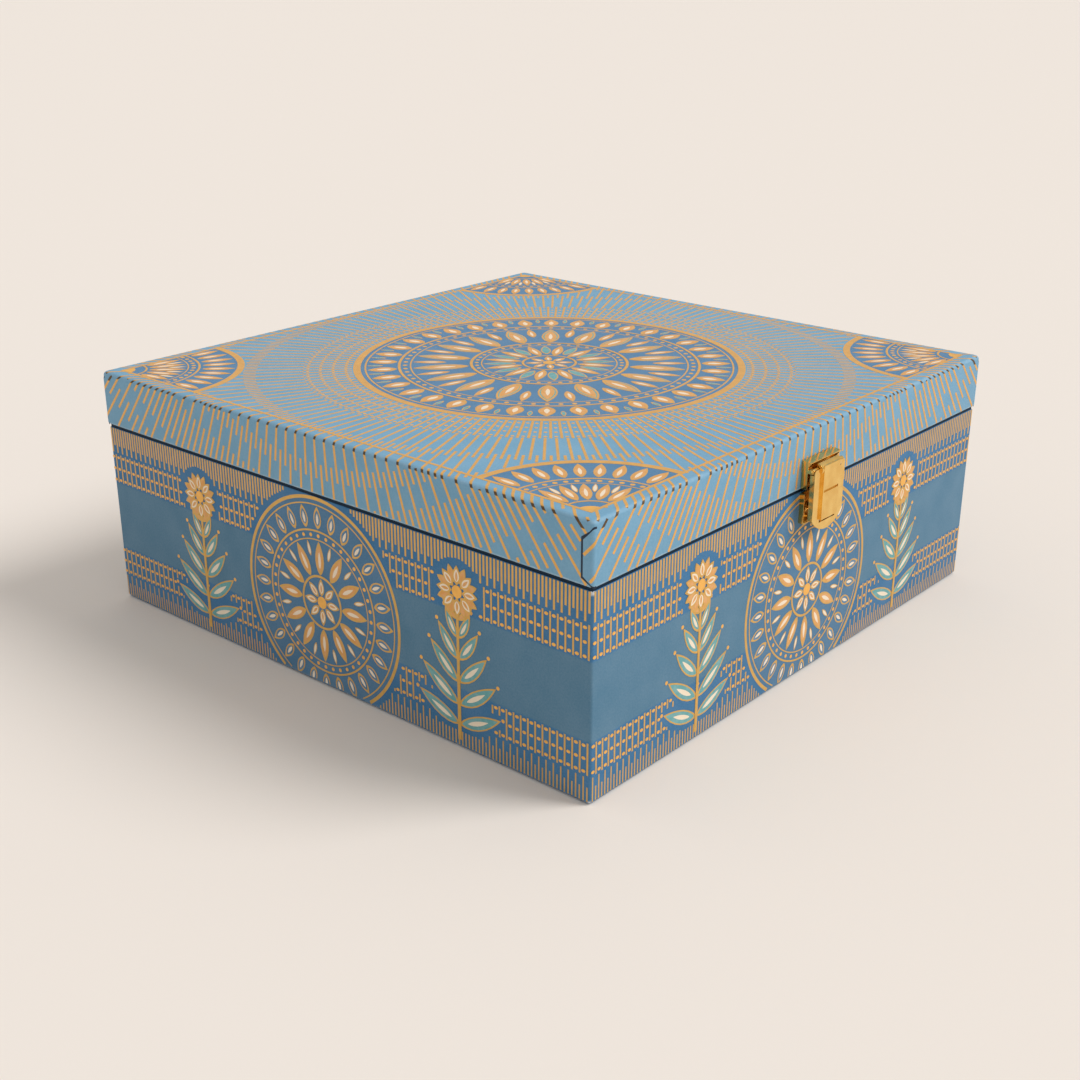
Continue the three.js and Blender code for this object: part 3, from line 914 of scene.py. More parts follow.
lid_rays = Inlay(foil)
for shift, start, end in dash_sets:
    for k in range(ray_count):
        turn = 2 * math.pi * (k + shift) / ray_count
        along = (math.cos(turn), math.sin(turn))
        line = straight([c * start for c in along], [c * end for c in along], ray_step)
        for run in kept_runs(line, shows_ray):
            lid_rays.band(on_lid, thinned(run), ray_width)
lid_rays.piece("lid_foil_sunburst", lid_foil_finish, "lid")

# %% Border and rims
border_width = 1.2
ring_sides = 180
lid_middle = (0.0, 0.0)
border = [(x * border_half, y * border_half) for x, y in ((1, -1), (1, 1), (-1, 1), (-1, -1))]
corners = [(*border[k], turn) for k, turn in ((1, 180), (2, 270), (3, 0), (0, 90))]
lid_lines = Inlay(foil + 0.02)
lid_lines.band(on_lid, border, border_width, closed=True)
lid_lines.band(on_lid, circle(lid_middle, medallion_radius, ring_sides), medallion_rim, closed=True)
for x, y, turn in corners:
    rim = arc((x, y), corner_field_radius - corner_rim / 2, turn, turn + 90, 40)
    lid_lines.band(on_lid, rim, corner_rim)
lid_lines.piece("lid_foil_lines", lid_foil_finish, "lid")

# %% [markdown]
# ## Petals
# The round fields hold a generic rosette: rings of pointed lotus petals, as on countless tiles and tins. One
# function draws a petal, and a ring of them is a loop. A petal is a gold shape under a smaller one of ink, so
# that a gold outline shows, and some have a narrow heart in another colour.

# %% Petal helpers
petal_steps = 9
petal_swell = 3.3 / 1.68
petal_root = 0.75
petal_tip = 0.95
bead_sides = 10


def petal(start, angle, length, width, bend=0.0):
    """An anticlockwise petal outline from its root, at an angle in degrees, bending to one side."""
    turn = math.radians(angle)
    along = (math.cos(turn), math.sin(turn))
    left = (-along[1], along[0])

    def point(t, side):
        swell = petal_swell * t ** petal_root * (1 - t) ** petal_tip
        sideways = side * swell * width / 2 + bend * t * t
        return tuple(start[i] + along[i] * length * t + left[i] * sideways for i in (0, 1))

    shares = [(1 - math.cos(math.pi * k / petal_steps)) / 2 for k in range(petal_steps + 1)]
    right_side = [point(t, -1) for t in shares[:-1]]
    left_side = [point(t, 1) for t in reversed(shares[1:])]
    return right_side + left_side


def clipped(outline, lowest):
    """An outline without the part below a level."""
    kept = []
    for i, (u, v) in enumerate(outline):
        pu, pv = outline[i - 1]
        if (v >= lowest) != (pv >= lowest):
            share = (lowest - pv) / (v - pv)
            kept.append((pu + (u - pu) * share, lowest))
        if v >= lowest:
            kept.append((u, v))
    return kept


print("a petal has", len(petal((0, 0), 0, 10, 4)), "points")

# %% Ornaments


class Ornament:
    """Inlays in some colours for one body's motifs, drawn on one surface and about one centre at a time."""

    def __init__(self, name, body, gold, lowest=-math.inf, highest=math.inf):
        self.name = name
        self.body = body
        self.lowest = lowest
        self.highest = highest
        self.finishes = {
            "gold": gold, "bright": bead_foil_finish, "tan": tan_ink, "cream": cream_ink, "teal": teal_ink,
            "field": field_ink,
        }
        self.layers = {colour: Inlay(foil) for colour in self.finishes}

    def at(self, place, centre):
        self.place = place
        self.centre = centre
        return self

    def fill(self, colour, outline, level=0):
        outline = clipped(outline, self.lowest)
        if len(outline) > 2 and max(v for u, v in outline) <= self.highest:
            self.layers[colour].patch(self.place, outline, level)

    def bead(self, spot, size, level=0, sides=bead_sides):
        self.fill("bright", circle(spot, size, sides), level)

    def stroke(self, line, width, level=0, closed=False):
        layer = self.layers["gold"]
        inside = [self.lowest <= v <= self.highest for u, v in line]
        if all(inside):
            layer.band(self.place, line, width, closed, level)
            return
        if closed and any(inside):
            first = inside.index(False)
            line = line[first:] + line[:first]
        for run in kept_runs(line, lambda u, v: self.lowest <= v <= self.highest):
            layer.band(self.place, run, width, False, level)

    def petal(self, root, angle, length, width, ink, heart=None, line=0.8, level=0, bend=0.0):
        """A gold petal, a smaller one of ink that leaves a gold outline, and a narrow one as its heart."""

        def inner(start, end, wide):
            lean = angle + math.degrees(2 * start * bend / length ** 2)
            rest = length - start - end
            return petal(from_centre(root, start, lean), lean, rest, wide, bend * (rest / length) ** 2)

        self.fill("gold", petal(root, angle, length, width, bend), level)
        self.fill(ink, inner(1.6 * line, 1.8 * line, width - 2.2 * line), level + 1)
        if heart:
            self.fill(heart, inner(0.2 * length, 0.3 * length, 0.32 * width), level + 2)

    def ring(self, radius, width, level=0, sides=ring_sides):
        self.stroke(circle(self.centre, radius, sides), width, level, closed=True)

    def petals(self, count, near, far, width, ink, heart=None, line=0.8, level=0, first=0.0, spread=360.0):
        """Petals on rays from the centre, between two radii."""
        for k in range(count):
            angle = first + spread * k / count
            root = from_centre(self.centre, near, angle)
            self.petal(root, angle, far - near, width, ink, heart, line, level)

    def beads(self, count, radius, size, first=0.0, spread=360.0):
        for k in range(count):
            self.bead(from_centre(self.centre, radius, first + spread * k / count), size)

    def pieces(self):
        for colour, layer in self.layers.items():
            if layer.faces:
                layer.piece(f"{self.name}_{colour}", self.finishes[colour], self.body)


lid_motifs = Ornament("lid_motif", "lid", lid_foil_finish)
print("an ornament has", len(lid_motifs.layers), "layers")

# %% Rosette in the middle of the lid
ray_bead_radii = [82.4, 87.5, 92.6, 97.6]
ray_bead_size = 0.68
draw = lid_motifs.at(on_lid, lid_middle)
for k in range(ray_count):
    for radius in ray_bead_radii:
        draw.bead(from_centre(lid_middle, radius, 360 * (k + 0.75) / ray_count), ray_bead_size)
draw.ring(74.6, 0.7)
draw.petals(36, 62.0, 73.8, 10.8, "tan", "cream", 0.9)
draw.petals(36, 67.5, 74.0, 3.4, "teal", None, 0.5, 3, first=5.0)
draw.ring(61.0, 1.1, 5)
draw.beads(72, 58.6, 0.95)
draw.ring(56.4, 0.6)
draw.petals(18, 42.0, 55.8, 6.4, "tan", "cream", 0.7, first=10.0)
draw.petals(18, 33.0, 55.6, 12.8, "teal", None, 1.1, 3)
draw.petals(18, 34.5, 53.0, 8.8, "tan", "cream", 0.7, 5)
draw.ring(31.8, 1.2, 9)
draw.beads(44, 29.6, 0.85)
draw.ring(27.6, 0.5)
draw.petals(12, 13.5, 27.0, 7.0, "teal", None, 0.7, first=15.0)
draw.petals(12, 11.5, 27.0, 7.4, "tan", "cream", 0.9, 3)
draw.ring(10.8, 1.0, 7)
draw.petals(8, 2.8, 9.9, 5.2, "tan", "cream", 0.7)
draw.bead(lid_middle, 2.6, 4, 24)
print("middle rosette drawn")

# %% Fans in the corners of the lid
for x, y, turn in corners:
    centre = (x, y)
    draw = lid_motifs.at(on_lid, centre)
    draw.petals(9, 31.5, 44.6, 7.0, "tan", "cream", first=turn + 5.0, spread=90.0)
    draw.stroke(arc(centre, 30.2, turn + 1.5, turn + 88.5, 24), 0.9)
    draw.beads(12, 27.9, 0.9, first=turn + 3.75, spread=90.0)
    draw.stroke(arc(centre, 25.8, turn + 2, turn + 88, 24), 0.5)
    draw.petals(4, 17.5, 25.2, 3.0, "cream", None, 0.45, first=turn + 18.0, spread=72.0)
    draw.petals(5, 10.5, 25.2, 6.6, "tan", "cream", 0.8, 3, first=turn + 9.0, spread=90.0)
    draw.stroke(arc(centre, 9.4, turn + 4, turn + 86, 12), 0.8, 6)
    draw.fill("bright", [centre] + arc(centre, 5.0, turn, turn + 90, 10))
lid_motifs.pieces()

# %% [markdown]
# ## The base's flower sprays and bands
# Each wall has an upright spray on each side of its middle: leaves in pairs up a stem, and a flower on top.
# Round the top and the bottom of the base run bands of close gold ticks. Every second tick is longer and ends
# in a row of beads, with plain bars between. The bands stop short of each motif and leave a narrow blue halo,
# so the spray's outlines are worked out first, and each mark is tested against them.

# %% The parts of a spray
spray_across = 69.0
spray_foot = 72.0
flower_middle = (0.0, -16.5)
flower_radius = 10.0
leaf_bend = 2.2
leaf_pairs = [
    (-66.0, 74, 20.5, 9.0, "teal"), (-58.5, 62, 20.5, 9.0, "teal"), (-50.0, 53, 18.0, 8.4, "teal"),
    (-41.5, 46, 15.0, 7.4, "teal"), (-33.5, 40, 11.5, 6.0, "teal"), (-26.5, 62, 9.0, 4.4, "tan"),
]
leaves = []
for v, lean, length, width, ink in leaf_pairs:
    for side in (-1, 1):
        leaves.append(((0.0, v), 90 - side * lean, length, width, side * leaf_bend, ink))
outlines = [petal(*leaf[:5]) for leaf in leaves]
outlines.append(circle(flower_middle, flower_radius, 24))


def near(u, v, outline, margin):
    """True inside an outline or within a margin of it."""
    inside = False
    for (a, b), (c, d) in zip(outline, outline[1:] + outline[:1]):
        if (b > v) != (d > v) and u < a + (v - b) / (d - b) * (c - a):
            inside = not inside
        size = (c - a) ** 2 + (d - b) ** 2
        share = ((u - a) * (c - a) + (v - b) * (d - b)) / max(size, 1e-9)
        share = min(1.0, max(0.0, share))
        if math.hypot(u - a - share * (c - a), v - b - share * (d - b)) < margin:
            return True
    return inside


print("a spray has", len(outlines), "outlines")

# %% Ticks, bars and beads
column_count = 80
column_pitch = 2 * base_half / column_count
column_inset = 1.25
upper_tick_width = 0.83
lower_tick_width = 0.56
bar_width = 0.72
shortest_mark = 1.0
mark_step = 0.3
tick_top = 0.12
tick_bottom = base_top - base_bottom - 1.1
roundel_halo = 2.2
spray_halo = 1.9
spray_half = 26.0
long_ticks = [(tick_top, 10.4, upper_tick_width), (65.2, tick_bottom, lower_tick_width)]
short_ticks = [(tick_top, 7.4, upper_tick_width), (68.8, tick_bottom, lower_tick_width)]
bars = [(11.3, 23.5, bar_width), (52.7, 64.4, bar_width)]
bead_levels = [12.5, 17.5, 22.4, 53.8, 58.5, 63.2]
bead_half_width = 0.82
bead_half_height = 0.6


def shows_band(u, v):
    if math.hypot(u, v + roundel_drop) < roundel_radius + roundel_halo:
        return False
    aside = abs(u) - spray_across
    if abs(aside) > spray_half:
        return True
    return not any(near(aside, v, outline, spray_halo) for outline in outlines)


marks = []
bead_spots = []
columns_width = 2 * base_half - 2 * column_inset - column_pitch / 2
for k in range(column_count):
    u = -base_half + column_inset + columns_width * k / (column_count - 1)
    between = u + column_pitch / 2
    strokes = [(u, *stroke) for stroke in long_ticks]
    strokes += [(between, *stroke) for stroke in short_ticks + bars]
    for across, start, end, width in strokes:
        for run in kept_runs(straight((across, -start), (across, -end), mark_step), shows_band):
            if run[0][1] - run[-1][1] > shortest_mark:
                marks.append(([run[0], run[-1]], width))
    bead_spots += [(u, -down) for down in bead_levels if shows_band(u, -down)]

base_bands = Inlay(foil)
base_beads = Inlay(foil + 0.06)
round_bead = circle((0.0, 0.0), 1.0, bead_sides)
for place in walls:
    for line, width in marks:
        base_bands.band(place, line, width)
    for u, v in bead_spots:
        base_beads.patch(place, [(u + bead_half_width * x, v + bead_half_height * y) for x, y in round_bead])
base_bands.piece("base_foil_bands", base_foil_finish, "base")
base_beads.piece("base_foil_beads", bead_foil_finish, "base")

# %% [markdown]
# ## The base's roundels and sprays
# Each wall has a round rosette in the middle, cut off by the bottom edge, between the two sprays. They use
# the same petals as the lid, so the print reads as one design.

# %% Roundels and sprays
lowest_print = -(tick_bottom - 0.2)
highest_print = -0.05
base_motifs = Ornament("base_motif", "base", base_foil_finish, lowest_print, highest_print)


def roundel(place):
    draw = base_motifs.at(place, (0.0, -roundel_drop))
    draw.ring(roundel_radius - 0.65, 1.3, sides=160)
    draw.ring(38.0, 0.5, sides=160)
    draw.petals(28, 28.8, 37.4, 6.6, "field", "cream", 0.75)
    draw.ring(27.9, 0.7, 4, 120)
    draw.beads(40, 26.1, 0.75)
    draw.ring(24.5, 0.45, sides=120)
    draw.petals(12, 18.0, 24.0, 2.8, "cream", None, 0.45, first=15.0)
    draw.petals(12, 10.8, 24.0, 7.6, "tan", "cream", 0.85, 3)
    draw.ring(10.2, 0.9, 7, 80)
    draw.petals(8, 2.6, 9.4, 5.0, "cream", "tan", 0.6)
    draw.bead(draw.centre, 2.4, 4, 20)


def spray(place, across):
    flower = (across, flower_middle[1])
    draw = base_motifs.at(place, flower)
    for i, ((u, v), angle, length, width, bend, ink) in enumerate(leaves):
        root = (across + u, v)
        heart = "cream" if ink == "teal" else None
        draw.petal(root, angle, length, width, ink, heart, level=3 * (i // 2), bend=bend)
        draw.bead(from_centre(root, length + 1.2, angle + math.degrees(bend / length)), 0.75)
    stem = straight((across, -spray_foot), flower, 5.0)
    draw.stroke(stem, [1.6 - 0.6 * i / (len(stem) - 1) for i in range(len(stem))], 18)
    draw.petals(8, 3.4, 9.8, 5.2, "tan", None, 0.6, 19, first=22.5)
    draw.petals(8, 2.4, 9.4, 5.6, "cream", "tan", 0.7, 21)
    draw.bead(flower, 2.3, 24, 20)


for place in walls:
    roundel(place)
    spray(place, -spray_across)
    spray(place, spray_across)
base_motifs.pieces()

# %% [markdown]
# ## Corner laps of the lid
# At each upright corner one sheet laps a few millimetres round onto the next, with a mitred top and bottom:
# the front onto the sides, and the sides onto the back. The lap is a thin bent plate, and a dark navy strip
# just beyond its edge is a painted shadow of the lap.

# %% Corner laps
lap_shadow_reach = 0.95
lap_shadow_margin = 0.75
lap_shadow_lift = 0.05
least_lift = 0.05


def lap_plate(reach_end, margin, lift):
    """Rows of the lap from the front skirt round to its free edge, as a closed plate."""
    reaches = [lid_corner_round * k / 5 for k in (-5, -3, -1, 1, 3, 5)]
    rings = []
    for reach in [*reaches, reach_end]:
        start, end = lap_edges(min(reach, lap_reach))
        grown = min(1.0, (reach + lid_corner_round) / lid_corner_round)
        top = lift * max(grown, least_lift)
        high = start - margin
        low = end + margin
        ring_points = [(high, top), (low, top), (low, -sink), (high, -sink)]
        rings.append([round_corner(reach, depth, raised) for depth, raised in ring_points])
    return loft(rings)


def at_all_corners(points, faces):
    """The front left shape at the four corners: mirrored at the front, and on the back sheet at the back."""
    all_points = []
    all_faces = []
    corner_axes = [((1, 0), (0, 1)), ((-1, 0), (0, 1)), ((0, 1), (-1, 0)), ((0, -1), (-1, 0))]
    for (a, b), (c, d) in corner_axes:
        first = len(all_points)
        all_points += [(a * x + b * y, c * x + d * y, z) for x, y, z in points]
        for face in faces:
            order = face if a * d - b * c > 0 else tuple(reversed(face))
            all_faces.append(tuple(first + i for i in order))
    return all_points, all_faces


lap = at_all_corners(*lap_plate(lap_reach, 0.0, lap_sheet))
# Painted shadow: a thin navy strip reaching past each lap's edge stands in for the shadow that the lap casts.
lap_shadow = at_all_corners(*lap_plate(lap_reach + lap_shadow_reach, lap_shadow_margin, lap_shadow_lift))
lap_mesh = mesh_from("lid_corner_laps", *lap, smooth_below=fold_angle)
lap_shadow_mesh = mesh_from("lid_lap_shadow_lines", *lap_shadow, smooth_below=fold_angle)
add_piece(lap_mesh, lid_paper_finish, "lid")
add_piece(lap_shadow_mesh, navy_finish, "lid")
print("corner laps made")

# %% [markdown]
# ## Metalwork
# The clasp and the hinges are stamped and folded sheet, with soft polished edges. Each piece is a union of
# simple solids, made by the Boolean modifier, whose sharp edges are then bevelled, because a sharp edge on
# polished metal catches no light.

# %% Solid helpers
pole = 1e-6


def extruded(outline, axis, low, high):
    """A prism along an axis from an outline in the other two axes, in X, Y, Z order."""
    return loft([[(*pair[:axis], level, *pair[axis:]) for pair in outline] for level in (low, high)])


def block(low, high):
    outline = [(low[0], low[1]), (high[0], low[1]), (high[0], high[1]), (low[0], high[1])]
    return extruded(outline, 2, low[2], high[2])


def rod(axis, centre, radius, low, high, sides=40):
    return extruded(circle(centre, radius, sides), axis, low, high)


def turned(profile, centre, sides):
    """A solid of revolution about an upright axis, from radius and height pairs that start and end on it."""
    points = []
    rows = []
    for radius, z in profile:
        first = len(points)
        if radius < pole:
            points.append((*centre, z))
            rows.append([first] * sides)
        else:
            points += [(x, y, z) for x, y in circle(centre, radius, sides)]
            rows.append(list(range(first, first + sides)))
    return outward(points, sides_between(rows))


print("a rod has", len(rod(0, (0.0, 0.0), 1.0, 0.0, 1.0)[1]), "faces")

# %% Fused solids
sharp_angle = 40
flat_angle = 1
weld = 1e-7


def shaped(mesh, steps):
    """The mesh after some modifiers, each a kind and its settings."""
    holder = new_object(mesh.name, mesh)
    for kind, settings in steps:
        step = holder.modifiers.new(kind, kind)
        for name, value in settings.items():
            setattr(step, name, value)
    bpy.context.view_layer.update()
    made = bpy.data.meshes.new_from_object(holder.evaluated_get(bpy.context.evaluated_depsgraph_get()))
    bpy.data.objects.remove(holder)
    return made


def fused(name, solids, cuts=(), bevel=0.0, segments=2):
    """The union of some solids less some cuts, with its sharp edges bevelled and its flats shaded flat."""
    tools = []
    steps = []
    for operation, group in (("UNION", solids[1:]), ("DIFFERENCE", cuts)):
        for solid in group:
            tool = new_object("tool", mesh_from("tool", *solid))
            tools.append(tool)
            steps.append(("BOOLEAN", {"operation": operation, "solver": "EXACT", "object": tool}))
    mesh = shaped(mesh_from(name, *solids[0]), steps)
    for tool in tools:
        bpy.data.objects.remove(tool)
    work = bmesh.new()
    work.from_mesh(mesh)
    bmesh.ops.remove_doubles(work, verts=work.verts, dist=weld)
    bmesh.ops.dissolve_limit(work, angle_limit=math.radians(flat_angle), verts=work.verts, edges=work.edges)
    if bevel:
        sharp = [e for e in work.edges if e.is_manifold and e.calc_face_angle(0) > math.radians(sharp_angle)]
        bmesh.ops.bevel(
            work, geom=sharp, offset=bevel * MM, segments=segments, profile=0.5, affect="EDGES",
            clamp_overlap=True,
        )
    work.to_mesh(mesh)
    work.free()
    shade_smooth(mesh, sharp_angle)
    mesh = shaped(mesh, [("WEIGHTED_NORMAL", {"keep_sharp": True})])
    mesh.name = name
    mesh.materials.clear()
    return mesh


def metal(node, body, kind, solids, cuts=(), bevel=0.16, segments=2):
    """A polished gold piece that stands for a node of its body."""
    mesh = fused(f"{node}_{kind}", solids, cuts, bevel, segments)
    add_piece(mesh, gold_finish, body, [node])
    print(mesh.name, len(mesh.polygons), "faces")


print("metal can be made")

# %% Clasp lever
lever_low, lever_high = span("clasp_lever")
pin_y, pin_z = middle_of("clasp_pin")[1:]
barrel_radius = 2.3
ear_radius = 1.0
ear_gap = 0.3
lever_sheet = 1.1
lever_front = lever_low[1] + 1.0
lever_half = lever_high[0] + 0.25
lever_end_radius = 12.6
lever_side_sheet = 0.9
lever_side_depth = 1.9
knuckle_half = 6.5
crown_top = pin_z + 0.6
crown_round = 1.4
crown_sheet = 0.35
panel_rise = 0.9
panel_half = 5.4
panel_margin = 4.6
panel_round = 0.3
panel_top = pin_z + 1.5
panel_low = lever_low[2] + panel_margin
panel_slot = 1.15
groove_z = (panel_low + pin_z) / 2 + 1.3
groove_half = panel_half - 0.5
groove_half_height = 0.45
groove_depth = 0.6


def lever_solids():
    low = lever_low[2]
    front = lever_front
    back = front + lever_sheet
    shoulder = pin_z - ear_radius - ear_gap
    turn = math.degrees(math.asin(lever_half / lever_end_radius))
    outline = arc((0.0, low + lever_end_radius), lever_end_radius, 270 - turn, 270 + turn, 24)
    plate = extruded([*outline, (lever_half, shoulder), (-lever_half, shoulder)], 1, front, back)
    crown = arc((lever_half - crown_round, crown_top - crown_round), crown_round, 0, 90, 6)
    crown += [(-x, z) for x, z in reversed(crown)]
    skin = extruded(outline + crown, 1, front, front + crown_sheet)
    neck = block((-knuckle_half, front, shoulder - 1), (knuckle_half, back, pin_z))
    barrel = rod(0, (pin_y, pin_z), barrel_radius, -knuckle_half, knuckle_half)
    sides = []
    for x in (-lever_half, lever_half - lever_side_sheet):
        far = (x + lever_side_sheet, front + lever_side_depth, shoulder)
        sides.append(block((x, front, outline[0][1]), far))
    return [plate, skin, neck, barrel, *sides]


def panel_solids():
    """The raised panel of the lever, and what is cut from it: a groove across it and a slot below it."""
    front = lever_front
    face = front - panel_rise
    back = front + lever_sheet
    top = arc((face + panel_round, panel_top - panel_round), panel_round, 180, 90, 6)
    section = [(back, panel_low), (face, panel_low), *top, (back, panel_top)]
    panel = extruded(section, 0, -panel_half, panel_half)
    groove_low = (-groove_half, face - 1, groove_z - groove_half_height)
    groove = block(groove_low, (groove_half, face + groove_depth, groove_z + groove_half_height))
    slot = block((-panel_half, front - 0.2, panel_low - panel_slot), (panel_half, back + 0.2, panel_low))
    return panel, [groove, slot]


panel, panel_cuts = panel_solids()
metal("clasp_lever", "clasp_lever", "plate", [*lever_solids(), panel], panel_cuts, bevel=0.22)

# %% Clasp bracket and catch
bracket_low, bracket_high = span("clasp_bracket")
catch_low, catch_high = span("clasp_catch")
clasp_sheet = 0.8
clasp_half = lever_half
cheek_front = bracket_high[1] - 2.35
cheek_drop = 2.4
hood_front = pin_y + 0.4
catch_half = clasp_half - 0.8
catch_front = cheek_front + 1.0
nib_half = 4.0
nib_height = 1.6


def dished(half, low, high, back, cheek):
    """A back plate with a raised cheek on each side, each cut to an outline of depth and height."""
    parts = [block((-half, back - clasp_sheet, low), (half, back, high))]
    for x in (-half, half - clasp_sheet):
        parts.append(extruded(cheek, 0, x, x + clasp_sheet))
    return parts


def bracket_solids():
    low = bracket_low[2]
    high = bracket_high[2]
    back = bracket_high[1]
    hood = [(hood_front, high - 0.62), (hood_front, high - 0.3), (back, high + 0.15)]
    cheek = [(back, low), (cheek_front, low), (cheek_front, high - cheek_drop), *hood]
    parts = dished(clasp_half, low, high, back, cheek)
    parts.append(extruded([*hood, (back, high - 0.5)], 0, -clasp_half, clasp_half))
    inner = knuckle_half + ear_gap
    for x0, x1 in ((-clasp_half, -inner), (inner, clasp_half)):
        arm = block((x0, pin_y, pin_z - ear_radius), (x1, back, pin_z + 0.4))
        parts += [arm, rod(0, (pin_y, pin_z), ear_radius, x0, x1)]
    return parts


def catch_solids():
    low = catch_low[2]
    high = catch_high[2]
    back = catch_high[1]
    cheek = [(back, low), (catch_front, low), (catch_front, high), (back, high)]
    parts = dished(catch_half, low, high, back, cheek)
    parts.append(block((-catch_half, catch_front, low), (catch_half, back, low + clasp_sheet)))
    parts.append(block((-nib_half, catch_low[1], low), (nib_half, back, low + nib_height)))
    return parts


metal("clasp_bracket", "lid", "plate", bracket_solids())
metal("clasp_catch", "base", "plate", catch_solids())

# %% Clasp pin and screws
pin_past_clasp = 0.4
screw_head = 0.7
screw_slot_half = 0.22
screw_slot_depth = 0.35


def pin_rod(node, low, high):
    """A pin along X, as thick as its node."""
    start, end = span(node)
    return rod(0, middle_of(node)[1:], (end[2] - start[2]) / 2, low, high)


def screw(node, body, outward_y):
    """A round-headed screw lying along Y, with a cross cut in its head."""
    low, high = span(node)
    x, z = middle_of(node)[::2]
    radius = high[0] - x
    face = high[1] if outward_y > 0 else low[1]
    profile = [(0.0, 0.0), (0.45 * radius, -0.04), (0.8 * radius, -0.2), (radius, -0.5)]
    profile += [(radius, -screw_head), (0.44 * radius, -screw_head), (0.44 * radius, -4.0), (0.0, -5.0)]
    points, faces = turned(profile, (0.0, 0.0), 28)
    points = [(x + px, face + outward_y * pz, z + py) for px, py, pz in points]
    start, end = sorted((face - outward_y * screw_slot_depth, face + outward_y))
    cuts = []
    for across, up in ((0.6 * radius, screw_slot_half), (screw_slot_half, 0.6 * radius)):
        cuts.append(block((x - across, start, z - up), (x + across, end, z + up)))
    metal(node, body, "head", [outward(points, faces)], cuts, bevel=0.04, segments=1)


pin_end = clasp_half + pin_past_clasp
metal("clasp_pin", "lid", "rod", [pin_rod("clasp_pin", -pin_end, pin_end)], bevel=0.12)
for side in ("left", "right"):
    for body in ("lid", "base"):
        screw(f"{body}_clasp_screw_{side}", body, -1)

# %% Hinges
leaf_round = 2.5
leaf_sheet = 1.0
leaf_bevel = 0.18
knuckle_gap = 0.2
heel_half = 0.5
base_web_drop = 1.3
pin_past_hinge = 0.25


def leaf_plate(x, half, y, z_fold, z_end):
    """A leaf with round outer corners, from its fold line to its free end."""
    down = z_end < z_fold
    edge = z_end + leaf_round if down else z_end - leaf_round
    first = arc((x - half + leaf_round, edge), leaf_round, 180, 270 if down else 90, 6)
    second = arc((x + half - leaf_round, edge), leaf_round, 270 if down else 90, 360 if down else 0, 6)
    return extruded(first + second + [(x + half, z_fold), (x - half, z_fold)], 1, y, y + leaf_sheet)


def hinge(side):
    lid_leaf, base_leaf, pin = [f"hinge_{part}_{side}" for part in ("lid_leaf", "base_leaf", "pin")]
    lid_leaf_low, lid_leaf_high = span(lid_leaf)
    base_leaf_low = span(base_leaf)[0]
    pin_low, pin_high = span(pin)
    x, y, z = middle_of(pin)
    half = pin_high[0] - x
    face = lid_leaf_low[1]
    knuckle = y - face
    middle = half / 3 - knuckle_gap
    outer = half / 3 + knuckle_gap
    fold = knuckle + 0.4
    lid_parts = [
        leaf_plate(x, half, face, z + fold, lid_leaf_high[2]),
        block((x - middle, face, z), (x + middle, face + leaf_sheet, z + fold + leaf_sheet)),
        rod(0, (y, z), knuckle, x - middle, x + middle),
        block((x - middle, y, z - heel_half), (x + middle, lid_leaf_high[1], z + heel_half)),
    ]
    base_face = base_leaf_low[1]
    base_parts = [leaf_plate(x, half, base_face, z - fold, base_leaf_low[2])]
    for x0, x1 in ((x - half, x - outer), (x + outer, x + half)):
        base_parts.append(rod(0, (y, z), knuckle, x0, x1))
        base_parts.append(block((x0, base_face, z - fold - leaf_sheet), (x1, y, z - base_web_drop)))
    metal(lid_leaf, "lid", "plate", lid_parts, bevel=leaf_bevel)
    metal(base_leaf, "base", "plate", base_parts, bevel=leaf_bevel)
    rod_solid = pin_rod(pin, pin_low[0] - pin_past_hinge, pin_high[0] + pin_past_hinge)
    metal(pin, "base", "rod", [rod_solid], bevel=0.2)
    for body in ("lid", "base"):
        for k in (1, 2):
            screw(f"{body}_hinge_screw_{side}_{k}", body, 1)


hinge("left")
hinge("right")

# %% [markdown]
# ## Tray, jars and caps
# With the lid open, four squat glass jars show in a card tray. A jar is a turned shape with an inside and an
# outside, so that light bends through a real wall. Its cap is pressed tin with a rolled lower edge.

# %% Jar tray
tray_low, tray_high = span("jar_tray")
tray_card = 1.5
hole_gap = 1.0
cut_past = 5.0
jar_sides = 96
jar_numbers = range(1, 5)


def jar_centre(k):
    return middle_of(f"jar_{k}")[:2]


def tray_mesh():
    hole = span("jar_1")[1][0] - jar_centre(1)[0] + hole_gap
    folded = block(tray_low, tray_high)
    inside = block(
        [value + tray_card for value in tray_low[:2]] + [tray_low[2] - cut_past],
        [value - tray_card for value in tray_high],
    )
    top = tray_high[2] + cut_past
    holes = [rod(2, jar_centre(k), hole, tray_low[2], top, jar_sides) for k in jar_numbers]
    return fused("jar_tray_card", [folded], [inside, *holes], bevel=0.3)


add_piece(tray_mesh(), card_finish, "base", ["jar_tray"])
print("tray made")

# %% Jars and caps


def jar_profile(low, high, radius):
    """Outside from the foot up, over the lip and down the inside."""
    wall = 2.4
    lip = 1.2
    neck = radius - 8.0
    neck_low = high - 11.0
    shoulder = neck_low - 8.0
    bend = 6.0
    inner_bend = 5.0
    inner_foot = 4.0
    steps = 8
    outside = [(0.0, low + 1.4), (0.5 * radius, low + 1.2), (0.72 * radius, low + 0.4)]
    outside += arc((radius - bend, low + bend), bend, 270, 360, steps)
    outside += arc((radius - bend, shoulder), bend, 0, 55, steps)
    outside += [(neck, neck_low + 0.6), (neck, high - 5.6), (neck + 0.4, high - 5.0), (neck, high - 4.4)]
    outside += arc((neck - lip, high - lip), lip, 0, 180, steps)
    inside = [(neck - wall, neck_low)]
    inside += arc((radius - wall - inner_bend, shoulder - 0.6), inner_bend, 50, 0, steps)
    inside += arc((radius - wall - inner_foot, low + 7.2), inner_foot, 360, 270, steps)
    inside.append((0.0, low + 3.2))
    return outside + inside


